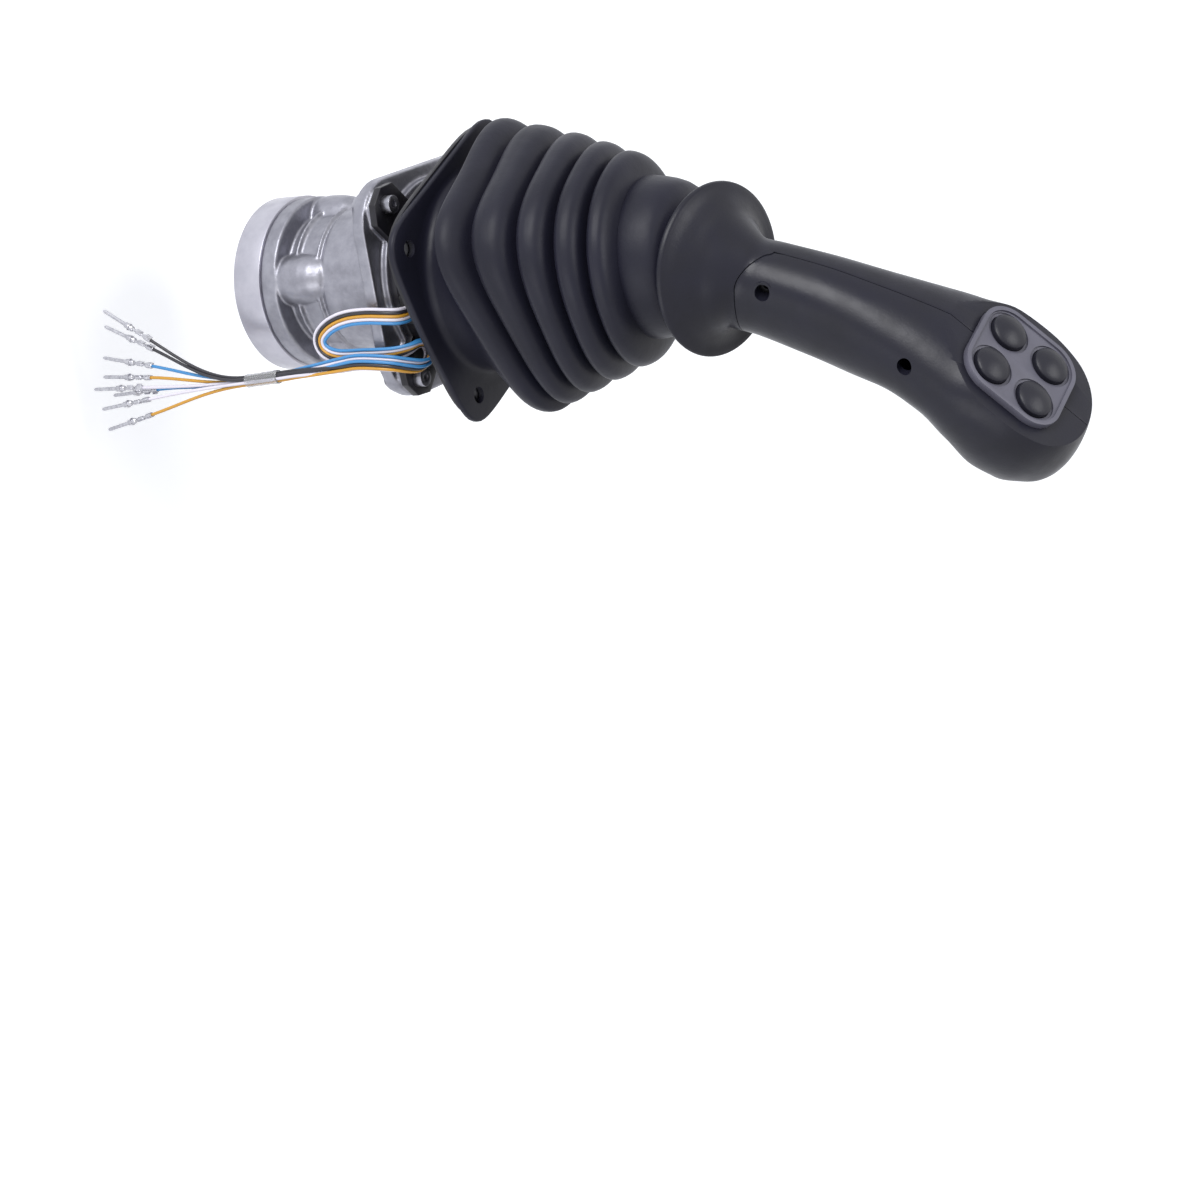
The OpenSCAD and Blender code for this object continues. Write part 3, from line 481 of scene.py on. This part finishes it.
# The ribbon turns over on its way, by a quarter turn at least, so that its flat side faces out at the sleeve
end_along = (bundle[-1] - bundle[-2]).normalized()
wanted = end_along.cross(OUTWARD).normalized()
twist = math.atan2(end_along.dot(end_across.cross(wanted)), end_across.dot(wanted))
if abs(twist) < math.pi / 2:
    twist -= math.copysign(math.pi, twist)
spans = [(b - a).length for a, b in zip(bundle, bundle[1:])]
run_length = sum(spans)


def wire_points(index):
    """One wire's centre line in millimetres: in the flat ribbon, in the round sleeve, then out to its pin."""
    across, through = RIBBON_PLACES[index]
    place = SLEEVE_PLACES[index]
    round_angle = place * 360 / 7 + SLEEVE_RING_TURN
    spread = SLEEVE_RING_R * Vector((cosd(round_angle), sind(round_angle), 0))
    if place < 0:
        spread = Vector((0, 0, 0))
    spread -= spread.dot(sleeve_way) * sleeve_way
    travelled = 0
    points = []
    for i, centre in enumerate(bundle):
        share = travelled / run_length
        if i < len(spans):
            travelled += spans[i]
        u, v = frames_along[i]
        turn = twist * eased(share, TURN_FROM, TURN_OVER)
        u, v = (math.cos(turn) * u + math.sin(turn) * v, math.cos(turn) * v - math.sin(turn) * u)
        flat = across * ACROSS_PITCH * u + through * THROUGH_PITCH * v
        points.append(centre + flat.lerp(spread, eased(share, GATHER_FROM, GATHER_OVER)))
    base = Vector(PIN_BASES[index])
    way = Vector(PIN_WAYS[index]).normalized()
    last = points[-1]
    down = (points[-1] - points[-2]).normalized()
    reach = (base - last).length
    handle_a = last + down * reach * 0.4
    handle_b = base - way * reach * 0.35
    tail = []
    for k in range(1, TAIL_STEPS + 1):
        t = k / TAIL_STEPS
        tail.append((1 - t)**3 * last + 3 * (1 - t)**2 * t * handle_a + 3 * (1 - t) * t * t * handle_b + t**3 * base)
    return points + tail


# The contact's radius and height, from its insulation crimp to its nose
CONTACT_PROFILE = [(0.01, -0.4), (1.0, -0.4), (1.12, 0), (1.12, 0.6), (1.0, 0.9), (1.12, 1.2), (1.12, 2.6),
                   (0.85, 3.2), (0.62, 3.8), (0.6, 4.4), (0.85, 4.8), (0.95, 5.2), (0.8, 5.7), (0.95, 6.2),
                   (0.8, 6.7), (0.95, 7.2), (0.6, 7.8), (0.6, 8.6), (1.05, 9), (1.2, 9.4), (1.2, 10.6), (1.55, 10.7),
                   (1.55, 11.3), (1.2, 11.4), (1.2, 13), (0.9, 13.5), (0.78, 14), (0.78, 23.6), (0.66, 24.4),
                   (0.4, 24.9), (0.01, 25)]
# Crimp wings folded over the wire's skin and over its strands: middle height, length and width
CRIMP_WINGS = [(1.2, 2.6, 3), (5.9, 3, 2.1)]
WING_T = 0.5
WING_Y = 0.75


def contact_pin(index):
    """A turned and crimped contact: insulation crimp, wire crimp, barrel with a collar, and a round-nosed pin."""
    pin = turned(f"contact_pin_{index + 1}", CONTACT_PROFILE, 20)
    for z, length, width in CRIMP_WINGS:
        joined_by(pin, softened(block((width, WING_T, length), (0, WING_Y, z)), 0.12), "UNION")
    way = Vector(PIN_WAYS[index]).normalized()
    moved(pin, at_mm(*PIN_BASES[index]) @ way.to_track_quat("Z", "Y").to_matrix().to_4x4())
    return smooth(pin, 40)


for i in range(WIRE_COUNT):
    points = [p * MM for p in wire_points(i)]
    line = bpy.data.curves.new(f"lead_{i + 1}", "CURVE")
    line.dimensions = "3D"
    line.bevel_depth = WIRE_D / 2 * MM
    line.bevel_resolution = 4
    line.use_fill_caps = True
    spline = line.splines.new("POLY")
    spline.points.add(len(points) - 1)
    for place, point in zip(spline.points, points):
        place.co = (*point, 1)
    lead = linked(f"lead_{i + 1}", line)
    tint = WIRE_TINTS[i]
    # The first wire also stands in for the CAD's common run
    swapped = (f"wire_{i + 1}", "wire_run") if i == 0 else (f"wire_{i + 1}",)
    finished(lead, "housing", "wire_" + tint, wire_skins[tint], *swapped)
    pin = finished(contact_pin(i), "housing", "tin_contact", tin_plate, "contact_pins")

# The sleeve's radius and height, up its outside and back down its bore
SLEEVE_PROFILE = [(2.35, 0), (2.7, 0.2), (2.75, 1.2), (2.6, 4), (2.65, 8), (2.6, 12), (2.75, 14.8), (2.7, 15.8),
                  (2.35, 16), (2.3, 15.4), (2.3, 0.6)]
SLEEVE_SIDES = 32
sleeve_turn = sleeve_way.to_track_quat("Z", "Y").to_matrix()
sleeve_rings = [[tuple(Vector(SLEEVE[0]) + sleeve_turn @ Vector((r * math.cos(a), r * math.sin(a), s)))
                 for a in np.arange(SLEEVE_SIDES) * TAU / SLEEVE_SIDES] for r, s in SLEEVE_PROFILE]
sleeve_rings.append(sleeve_rings[0])
sleeve = smooth(wrapped("clear_sleeve_tube", sleeve_rings, closed=False))
finished(sleeve, "housing", "clear_sleeve", clear_sleeve_pvc, "wire_sleeve")

# ---------- rubber boot ----------

FOLD_Z = 28.8
FOLD_PITCH = 11.85
FOLD_DEPTH = 9
RUBBER_T = 2
# By fold number: where the folds start over the foot, where the boot's halves meet, and where the cone starts
FIRST_T = 0.72
SPLIT_T = 2.5
CONE_T = 5.5
BOOT_SIDES = 128
# By fold number, counted up from the foot: half width, squareness, how far the ring dips towards +X+Y and towards
# -X+Y in degrees, and how far its -X+Y corner sags
FOLD_W = [(0, 48), (1, 48), (2, 46.5), (3, 45), (4, 42.7), (5, 39.6), (6, 36)]
FOLD_N = [(0, 4), (1, 4), (2, 3.4), (3, 2.8), (4, 2.4), (5, 2.15), (6, 2)]
FOLD_LEAN = [(0, 0), (1, -6), (2, 1.5), (3, 6), (4, 8), (5, 7.5), (6, 3)]
FOLD_SIDE = [(0, 0), (1, 7.5), (2, 5.2), (3, 3), (4, 2.3), (5, 1.8), (6, 0.5)]
FOLD_SAG = [(0, 0), (1, 7), (2, 3.5), (3, 1), (4, 0), (5, 0), (6, 0)]


def boot_ring(z, w, n=2.0, lean=0.0, side=0.0, sag=0.0, bow=0.0):
    """A rounded-square ring that dips two ways, sags at its -X+Y corner, and bows out along its +Y and -Y sides."""
    ring = []
    for i in range(BOOT_SIDES):
        a = i * TAU / BOOT_SIDES
        degrees = math.degrees(a)
        corner = max(cosd(degrees - 135), 0) ** 3
        r = w * squareness(a, n) + 0.3 * sag * corner + bow * math.sin(a) ** 4
        ring.append((r * math.cos(a), r * math.sin(a),
                     z + r * (tand(lean) * cosd(degrees - 225) + tand(side) * cosd(degrees - 315)) - sag * corner))
    return ring


def fold_depth_at(t):
    """0 on a fold's broad round crest and 1 in the narrow valley."""
    total = 0
    for k in range(-2, 3):
        s = abs((t + k * 0.012 + 0.5) % 1 - 0.5) * 2
        total += 1 - (1 - s ** 2.7) ** 0.62
    return total / 5


def fold_ring(t, inset=0.0):
    """The ring at fold t, on the outside or that much further in."""
    w = value_at(FOLD_W, t) - FOLD_DEPTH * fold_depth_at(t) - inset
    return boot_ring(FOLD_Z + FOLD_PITCH * (t - 1), w, value_at(FOLD_N, t), value_at(FOLD_LEAN, t),
                     value_at(FOLD_SIDE, t), value_at(FOLD_SAG, t))


def fold_rings(t_from, t_to, inset=0.0, per_fold=36):
    """The rings from one fold number to another."""
    count = round((t_to - t_from) * per_fold)
    return [fold_ring(t_from + (t_to - t_from) * k / count, inset) for k in range(count + 1)]


BOOT_W = 92
BOOT_SQUARE = 7.5
BOOT_BOW = 2.5
BOLT_PITCH = 70
BOLT_HOLE_R = 3.3
# The flange's rim: height, and how far in from its full width
RIM_ROWS = [(2.0, 0.5), (2.3, 0.1), (3.9, 0), (4.4, 0.4), (4.5, 1)]
rim = [boot_ring(z, BOOT_W / 2 - inset, BOOT_SQUARE, bow=BOOT_BOW) for z, inset in RIM_ROWS]
foot_outside = [boot_ring(2.0, 40, 2.1), *rim, boot_ring(4.5, 41.5, 2.6), boot_ring(4.7, 40, 2.2),
                boot_ring(5.6, 39, 2.1), boot_ring(8, 38.4, 2.1), boot_ring(13, 38.2, 2.2), boot_ring(16.5, 38.6, 2.5),
                boot_ring(19.5, 40, 3)]
foot_inside = [boot_ring(18, 37.4, 2.8), boot_ring(12, 36.2, 2.1), boot_ring(3, 36.4, 2.1), boot_ring(2, 36.4, 2.1)]
lower_rings = (foot_outside + fold_rings(FIRST_T, SPLIT_T) + fold_rings(FIRST_T, SPLIT_T, RUBBER_T)[::-1]
               + foot_inside + [foot_outside[0]])
boot_low = wrapped("boot_lower_folds", lower_rings, closed=False)
for x in (-BOLT_PITCH / 2, BOLT_PITCH / 2):
    for y in (-BOLT_PITCH / 2, BOLT_PITCH / 2):
        joined_by(boot_low, moved(drum(BOLT_HOLE_R, -5, 12, 32), at_mm(x, y, 0)))
smooth(boot_low, 50)
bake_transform(finished(boot_low, None, "boot_rubber", boot_rubber, "boot_lower"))

GRIP_LEAN = 31
BEND_Z = 94
COLLAR_S = 17
COLLAR_R = 9


def rod_ring(s, r):
    """A round ring square to the leaning lever, s along it from the bend."""
    ring = []
    for i in range(BOOT_SIDES):
        a = i * TAU / BOOT_SIDES
        u = r * math.cos(a)
        ring.append((s * sind(GRIP_LEAN) + u * cosd(GRIP_LEAN), r * math.sin(a),
                     BEND_Z + s * cosd(GRIP_LEAN) - u * sind(GRIP_LEAN)))
    return ring


def cone_rings(inset=0.0):
    """From the last fold up the cone to its rounded shoulder."""
    return [boot_ring(FOLD_Z + FOLD_PITCH * (CONE_T - 1) + 2.2, 30.9 - inset, 2, 5, 1),
            boot_ring(89, 30.2 - inset, 2, 3, 0.6), boot_ring(93, 29.3 - inset, 2, 1.6, 0.2),
            boot_ring(96 - inset / 3, 28.2 - inset, 2, 1), boot_ring(98.2 - inset / 2, 26.8 - inset),
            boot_ring(99.8 - inset / 2, 24.6 - inset), boot_ring(102.4 - inset, 20.6 - inset)]


def neck_rings(inset=0.0):
    """From the shoulder up the sleeve that grips the collar."""
    r = COLLAR_R + 0.4 + RUBBER_T - inset
    return [rod_ring(COLLAR_S - inset, COLLAR_R + 4.6 - inset), rod_ring(COLLAR_S + 1.5 - inset, r),
            rod_ring(COLLAR_S + 5.6, r), rod_ring(COLLAR_S + 6, r - 0.3)]


upper_rings = (fold_rings(SPLIT_T, CONE_T) + cone_rings() + neck_rings() + neck_rings(RUBBER_T)[::-1]
               + cone_rings(RUBBER_T)[::-1] + fold_rings(SPLIT_T, CONE_T, RUBBER_T)[::-1])
upper_rings.append(upper_rings[0])
boot_high = smooth(wrapped("boot_upper_folds", upper_rings, closed=False), 50)
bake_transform(finished(boot_high, None, "boot_rubber", boot_rubber, "boot_upper"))

# ---------- grip ----------

GRIP_SIDES = 112
SKIRT_R = 33
SHELL_T = 3
PART_GAP = 0.3
# Rows of the outer skin: x, z, lean, half depth, half width, tilt towards -Y, squareness
SKIRT_ROWS = [(7.3, 105.7, 0, 0.965, 14, 2), (7.3, 106.1, 0, 0.99, 14, 2), (7.3, 106.9, 0, 1, 14, 2),
              (7.4, 107.8, 0.5, 0.99, 14, 2), (7.6, 108.4, 1.2, 0.955, 13.8, 2), (8, 109.3, 3, 0.87, 13, 2),
              (8.7, 110.6, 6, 0.785, 11, 2), (9.7, 112.2, 10, 0.70, 8.6, 2), (11.3, 114.4, 17, 0.63, 5, 2)]
GRIP_ROWS = [(14.6, 117.9, 30, 18.2, 16.6, 0, 2.15), (17.6, 125.8, 31, 17.9, 16.4, 0, 2.3),
             (27.2, 145.8, 31, 18.7, 18, 0, 2.3), (35.8, 161.8, 33, 18.5, 20.4, 0, 2.3),
             (43.6, 176.7, 37, 17.7, 23.4, 0, 2.3), (51.7, 188.2, 42, 18, 27.2, 0, 2.3),
             (61.1, 198.4, 46, 22, 30, 0, 2.3), (72.5, 206.4, 50, 25.2, 29.8, 0, 2.3),
             (83, 213.6, 54, 24.8, 26.8, 0, 2.25), (91.9, 217.6, 56, 19.6, 20.6, 0, 2.2),
             (97.4, 218.4, 57, 14.2, 15.2, 0, 2.1), (100.6, 218.6, 57, 8.6, 9.4, 0, 2), (102, 218.9, 57, 3.6, 4, 0, 2),
             (102.2, 219, 57, 0.2, 0.2, 0, 2)]
# The hollow under the skirt, from its mouth up
HOLLOW_ROWS = [(7.3, 104.6, 0, 0.95, 14, 2), (7.3, 106.4, 0, 0.93, 14, 2), (8, 107.4, 3, 0.79, 13, 2),
               (9.6, 109.8, 9, 0.655, 9, 2), (12, 113.4, 18, 0.53, 4, 2)]


def grip_section(x, z, lean, deep, wide, tilt, n):
    """A ring of the grip's skin from one row of the tables."""
    ring = []
    for i in range(GRIP_SIDES):
        a = i * TAU / GRIP_SIDES
        k = squareness(a, n)
        u = deep * k * math.cos(a)
        v = wide * k * math.sin(a)
        w = v * sind(tilt)
        v *= cosd(tilt)
        ring.append((x + u * cosd(lean) + w * sind(lean), v, z - u * sind(lean) + w * cosd(lean)))
    return ring


def grip_skin_piece(name, skirt, inset, steps):
    """The grip as one solid, skirt and all, with its skin that much further in."""
    rows = [(x, z, lean, share * SKIRT_R, share * SKIRT_R, tilt, n) for x, z, lean, share, tilt, n in skirt]
    rows += [(x, z, lean, max(deep - inset, 0.2), max(wide - inset, 0.2), tilt, n)
             for x, z, lean, deep, wide, tilt, n in GRIP_ROWS]
    return wrapped(name, [grip_section(*row) for row in rows_through(rows, steps)])


# The button panel's place: the middle of its top face, and its lean back from level
PANEL_W = 42
PANEL_CORNER = 12
PANEL_SEAT = 2
PANEL_MIDDLE = (58.7, 0, 214.3)
PANEL_LEAN = 35.4
panel_place = at_mm(*PANEL_MIDDLE) @ Matrix.Rotation(math.radians(-PANEL_LEAN), 4, "Y")


def slab(half, z_low, z_high):
    """A square slab about Z, of that half width, between two heights."""
    return block((2 * half, 2 * half, z_high - z_low), (0, 0, (z_low + z_high) / 2))


def rounded_plate(name, w, corner, z_low, z_high, steps=12):
    """A square plate with round corners, in the button panel's own axes."""
    outline = []
    flat = w / 2 - corner
    for quarter, (cx, cy) in enumerate(((1, 1), (-1, 1), (-1, -1), (1, -1))):
        for k in range(steps + 1):
            a = math.radians(90 * quarter + 90 * k / steps)
            outline.append((flat * cx + corner * math.cos(a), flat * cy + corner * math.sin(a)))
    return wrapped(name, [[(x, y, z) for x, y in outline] for z in (z_low, z_high)])


grip_shell = grip_skin_piece("grip_shell", SKIRT_ROWS, 0, 6)
joined_by(grip_shell, moved(slab(45, -PANEL_SEAT, 40), panel_place))
hollow = grip_skin_piece("hollow", HOLLOW_ROWS, SHELL_T, 3)
joined_by(hollow, moved(slab(60, -PANEL_SEAT - SHELL_T, 60), panel_place))
joined_by(grip_shell, hollow)
joined_by(grip_shell, moved(rounded_plate("opening", PANEL_W - 6, PANEL_CORNER - 3, -20, 10), panel_place))

COVER_CORNER = 8
COVER_END = (8.9, 128.9)
COVER_BACK = 17.5
COVER_SLOPE = 15
COVER_SCREWS = [(9.6, 131.3), (39.9, 182)]
# The cover's screw holes: the head's recess, the tube around it, and the shank
HEAD_R = 2.9
TUBE_R = 3.8
SHANK_R = 2.2
# Far enough to reach past the whole grip
PAST_GRIP = 140


def cover_region(grow):
    """The prism that the cover fills: the -Y half of the grip above a rounded lower end."""
    r = COVER_CORNER + grow
    cx, cz = COVER_END
    outline = []
    low_angle = 270 - COVER_SLOPE
    back_angle = 180 - COVER_BACK
    for k in range(25):
        a = low_angle + (back_angle - low_angle) * k / 24
        outline.append((cx + r * cosd(a), cz + r * sind(a)))
    back_foot, low_foot = outline[-1], outline[0]
    outline.append((back_foot[0] + PAST_GRIP * sind(COVER_BACK), back_foot[1] + PAST_GRIP * cosd(COVER_BACK)))
    outline.append((200, 260))
    outline.append((low_foot[0] + PAST_GRIP * cosd(COVER_SLOPE), low_foot[1] - PAST_GRIP * sind(COVER_SLOPE)))
    return prism(outline, -60, grow - PART_GAP / 2)


grip_cover = linked("grip_cover_shell", grip_shell.data.copy())
joined_by(grip_cover, cover_region(0), "INTERSECT")
joined_by(grip_shell, cover_region(PART_GAP))
for x, z in COVER_SCREWS:
    screw_place = at_mm(x, 0, z) @ Matrix.Rotation(math.radians(90), 4, "X")
    joined_by(grip_cover, moved(drum(HEAD_R, 2, 60, 40), screw_place))
    tube = drum(TUBE_R, 1, 13.2, 40)
    joined_by(tube, drum(HEAD_R, 8, 60, 40))
    joined_by(tube, drum(SHANK_R, -2, 60, 32))
    joined_by(grip_cover, moved(tube, screw_place), "UNION")
grip_shell.name = "grip_body_shell"
for piece, node in ((grip_shell, "grip_body"), (grip_cover, "grip_cover")):
    smooth(softened(piece, 0.25, 2, 40), 34)
    finished(piece, "lever", "grip_plastic", grip_skin, node)

# ---------- button panel and buttons ----------

BUTTON_PITCH = 19.6
BUTTON_D = 14.4
BUTTON_H = 3.4
BUTTON_GAP = 0.25
FLANGE_R = 8.3
FLANGE_POCKET_R = FLANGE_R + BUTTON_GAP
panel = rounded_plate("button_panel_plate", PANEL_W, PANEL_CORNER, -PANEL_SEAT, 0.9)
joined_by(panel, rounded_plate("dish", PANEL_W - 3.4, PANEL_CORNER - 1.7, 0, 5))
joined_by(panel, rounded_plate("plug", PANEL_W - 6.4, PANEL_CORNER - 3.2, -8, -PANEL_SEAT + 0.3), "UNION")
joined_by(panel, rounded_plate("back", PANEL_W - 9, PANEL_CORNER - 4.5, -9, -4.4))
button_spots = [(BUTTON_PITCH / 2 * x, BUTTON_PITCH / 2 * y) for x, y in ((1, 1), (1, -1), (-1, 1), (-1, -1))]
for x, y in button_spots:
    for r, low, high in ((BUTTON_D / 2 + BUTTON_GAP, -20, 10), (BUTTON_D / 2 + 1.4, -0.6, 5),
                         (FLANGE_POCKET_R, -20, -1.4)):
        joined_by(panel, moved(drum(r, low, high, 72), at_mm(x, y, 0)))
softened(panel, 0.35, 3, 40)
moved(panel, panel_place)
finished(smooth(panel, 40), "lever", "panel_plastic", panel_abs, "button_panel")

half = BUTTON_D / 2
button_profile = [(0.01, -4.4), (FLANGE_R, -4.4), (FLANGE_R, -3.0), (half, -2.95), (half, 0.9), (half - 0.12, 1.25),
                  (half - 0.5, 1.6), (half - 1.3, 2.05), (half - 2.5, 2.55), (half - 4, 3.0), (half - 5.6, 3.3),
                  (0.8, BUTTON_H), (0.01, BUTTON_H)]
for i, (x, y) in enumerate(button_spots):
    cap = turned(f"button_cap_{i + 1}", button_profile, 72)
    joined_by(cap, drum(2, -6.2, -4.2, 24), "UNION")
    moved(cap, panel_place @ at_mm(x, y, 0))
    finished(smooth(cap, 34), f"button_{i + 1}_cap", "button_plastic", button_nylon, f"button_{i + 1}")

# ---------- valve ----------

# Heights and radii of the casting
BLOCK_TOP = -79.6
RING_TOP = -72.1
RING_R = 34.2
WAIST_R = 26.4
COLUMN_R = 29.5
BOSS_R = 10
BOSS_PITCH = 24
BOSS_TURN = 54
BOSS_TOP = -51.1
FLANGE_BOT = -23
FLANGE_TOP = -17.5
PLATE_BOT = -14.5
FLANGE_W = 86
FLANGE_CORNER = 19
SPIGOT_R = 38
VALVE_TURN = -23
SCREW_R = 48.3


def lofted_between(name, rows, sides=64):
    """A solid of round sections, each row a radius, a height and a shift along X."""
    return wrapped(name, [[(x + r * math.cos(k * TAU / sides), r * math.sin(k * TAU / sides), z)
                           for k in range(sides)] for r, z, x in rows])


def turned_by(angle):
    """The turn about Z by this many degrees."""
    return Matrix.Rotation(math.radians(angle), 4, "Z")


def bar(size, middle, turn=0.0):
    """A box that is placed first and then turned about Z."""
    return moved(block(size, (0, 0, 0)), turned_by(turn) @ at_mm(*middle))


column_rows = [(WAIST_R, BOSS_TOP - 5, 0), (COLUMN_R, BOSS_TOP - 1, 0), (COLUMN_R, FLANGE_BOT - 6, 0),
               (COLUMN_R + 4.5, FLANGE_BOT + 1, 0)]
parts = [drum(RING_R, BLOCK_TOP, RING_TOP, 128), drum(WAIST_R, RING_TOP - 1, BOSS_TOP - 2, 96),
         lofted_between("column", column_rows, 96), drum(SPIGOT_R, FLANGE_TOP - 1, PLATE_BOT, 96),
         moved(rounded_plate("flange", FLANGE_W, FLANGE_CORNER, FLANGE_BOT, FLANGE_TOP), turned_by(VALVE_TURN))]
for k in range(4):
    turn = BOSS_TURN + 90 * k
    # A bolt boss: a dome that swells a little at first and ends in a nose laid against the column
    dome = [(BOSS_R - 0.4, RING_TOP - 1, BOSS_PITCH), (BOSS_R + 0.2, RING_TOP + 4, BOSS_PITCH),
            (BOSS_R, RING_TOP + 10, BOSS_PITCH), (BOSS_R - 0.6, RING_TOP + 14.5, BOSS_PITCH - 0.3),
            (BOSS_R - 2.1, RING_TOP + 18.8, BOSS_PITCH - 0.9), (BOSS_R - 4.6, RING_TOP + 22.6, BOSS_PITCH - 1.9),
            (BOSS_R - 7.2, RING_TOP + 24.6, BOSS_PITCH - 2.8), (0.3, RING_TOP + 25.4, BOSS_PITCH - 3.2)]
    parts.append(moved(lofted_between("boss", dome), turned_by(turn)))
    parts.append(bar((12, 13, 11), (18, 0, RING_TOP + 5), turn))
    # The pocket between two bosses has a thin frame of two hoops, and a floor a little proud of the waist
    for z, deep, half in ((RING_TOP + 5.6, 2.8, 0.7), (RING_TOP + 16.2, 2.8, 0.7), (RING_TOP + 11, 0.9, 4.4)):
        hoop = drum(WAIST_R + deep, z - half, z + half, 96)
        joined_by(hoop, bar((60, 30, 40), (30, 0, z), turn + 45), "INTERSECT")
        parts.append(hoop)
    corner = turned_by(VALVE_TURN + 45 + 90 * k)
    seat_outline = ((-9, -9), (0, -9), (6, -4), (6, 4), (0, 9), (-9, 9))
    seat = wrapped("seat", [[(SCREW_R - 2.5 + x, y, z) for x, y in seat_outline] for z in (FLANGE_TOP - 1, PLATE_BOT)])
    gusset_outline = ((COLUMN_R - 2, FLANGE_BOT - 16), (COLUMN_R - 2, FLANGE_BOT + 1), (SCREW_R + 4, FLANGE_BOT + 1),
                      (SCREW_R + 4, FLANGE_BOT - 1.5))
    gusset = prism(gusset_outline, -2.5, 2.5)
    parts += [moved(seat, corner), moved(gusset, corner)]
# All of them become one skin, as a casting is, with small fillets where they meet
valve = parts[0]
only(valve)
for part in parts:
    part.select_set(True)
bpy.ops.object.join()
valve.name = "valve_casting"
remesh = valve.modifiers.new("skin", "REMESH")
remesh.mode = "VOXEL"
remesh.voxel_size = 0.55 * MM
relax = valve.modifiers.new("fillets", "SMOOTH")
relax.factor = 0.5
relax.iterations = 6
thin = valve.modifiers.new("fewer", "DECIMATE")
thin.ratio = 0.5
apply_all(valve)
only(valve)
bpy.ops.object.shade_smooth()
finished(valve, "housing", "cast_body", cast_aluminium, "valve_body")

# Return springs, which ride on no body: the lower end stands on the casting
SIDES = ("front", "back", "left", "right")
for side in SIDES:
    coil = copy_of(f"spring_{side}", f"return_spring_{side}")
    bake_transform(finished(coil, None, "spring_steel", spring_wire, f"spring_{side}"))

# Rigid pieces that keep the CAD's own shape, with broken edges of the given width
for node, width, body, slot, finish in (
        ("port_block", 0.5, "housing", "machined_steel", turned_aluminium),
        ("top_plate", 0.25, "housing", "black_plate", black_zinc),
        ("plate_screws", 0.2, "housing", "zinc_screw", dull_zinc),
        ("spacer_ring", 0.3, "housing", "black_plate", black_zinc),
        ("boot_plate", 0.2, "housing", "black_plate", black_zinc),
        ("body_bolts", 0.3, "housing", "dark_screw", black_oxide),
        ("cover_screws", 0.15, "lever", "dark_screw", black_oxide),
        ("wire_grommet", 0.3, "housing", "seal_rubber", nitrile),
        ("lock_nut", 0.4, "lever", "zinc_screw", bright_zinc)):
    piece = copy_of(node, node + "_edged")
    smooth(softened(piece, width), 32)
    finished(piece, body, slot, finish, node)

# Pieces out of sight inside, which keep the CAD's own objects
plungers_and_spools = [f"{kind}_{side}" for kind in ("plunger", "spool") for side in SIDES]
for group, finish in ((("port_seals", "plunger_seals"), nitrile), (("plunger_bushes",), bronze),
                      (("spacer_screws",), bright_zinc), (("lower_yoke", "swash_plate", "grip_core"), forged_steel),
                      (["joint_cross", "lever_rod"] + plungers_and_spools, ground_steel),
                      (("boot_collar", "micro_switches"), black_nylon), (("switch_board",), board_green)):
    for name in group:
        nodes[name].data.materials.clear()
        nodes[name].data.materials.append(finish)

# ---------- floor, world and lamps ----------

# The floor lies a little below the lowest contact pin, in metres
FLOOR_Z = -0.168
# The light that the floor gives off, where 1 is white
FLOOR_GLOW = 0.3

only_nothing()
bpy.ops.mesh.primitive_plane_add(size=12, location=(0, 0, FLOOR_Z))
floor = bpy.context.object
floor.name = "floor"
floor_paint = bpy.data.materials.new("floor_paint")
floor_paint.use_nodes = True
tree = floor_paint.node_tree
tree.nodes.clear()
paint = add(tree, "ShaderNodeBsdfPrincipled", {"Base Color": (1, 1, 1, 1), "Roughness": 1.0,
                                              "Specular IOR Level": 0.0, "Emission Color": (1, 1, 1, 1),
                                              "Emission Strength": FLOOR_GLOW})
add(tree, "ShaderNodeOutputMaterial", {"Surface": paint.outputs["BSDF"]})
floor.data.materials.append(floor_paint)

world = bpy.data.worlds.new("studio")
bpy.context.scene.world = world
world.use_nodes = True
tree = world.node_tree
tree.nodes.clear()
# The world is white where it is looked at, mirrored or seen through, and a soft pale sky where it gives light
ray = add(tree, "ShaderNodeLightPath").outputs
seen = add(tree, "ShaderNodeMath", {0: ray["Is Camera Ray"], 1: ray["Is Glossy Ray"]}, operation="MAXIMUM")
seen = add(tree, "ShaderNodeMath", {0: seen.outputs[0], 1: ray["Is Transmission Ray"]}, operation="MAXIMUM")
sky = add(tree, "ShaderNodeBackground", {"Color": (0.9, 0.93, 1, 1), "Strength": 0.58})
white = add(tree, "ShaderNodeBackground", {"Color": (1, 1, 1, 1), "Strength": 1.0})
mixed = add(tree, "ShaderNodeMixShader", {0: seen.outputs[0], 1: sky.outputs[0], 2: white.outputs[0]})
add(tree, "ShaderNodeOutputWorld", {"Surface": mixed.outputs[0]})

LAMPS_AIM = Vector((0.02, 0, 0.06))


def lamp(name, way, distance, size, power):
    """A round soft lamp that looks at the object from that way and distance, in metres and watts."""
    light = bpy.data.lights.new(name, "AREA")
    light.shape = "DISK"
    light.size = size
    light.energy = power
    made = linked(name, light)
    way = way.normalized()
    facing = way.to_track_quat("Z", "Y").to_matrix().to_4x4()
    made.matrix_world = Matrix.Translation(LAMPS_AIM + way * distance) @ facing


key = bpy.data.lights.new("key", "SUN")
key.energy = 3.3
key.angle = math.radians(38)
key_light = linked("key", key)
key_light.matrix_world = (above * 0.75 + back * 0.8 - right * 0.45).to_track_quat("Z", "Y").to_matrix().to_4x4()
lamp("side", back * 0.5 + right * 0.9 + above * 0.3, 1.4, 0.8, 7)
lamp("low", back * 0.8 - right * 0.4 - above * 0.6, 1.5, 1.0, 5)

bpy.context.scene.view_settings.view_transform = "Standard"
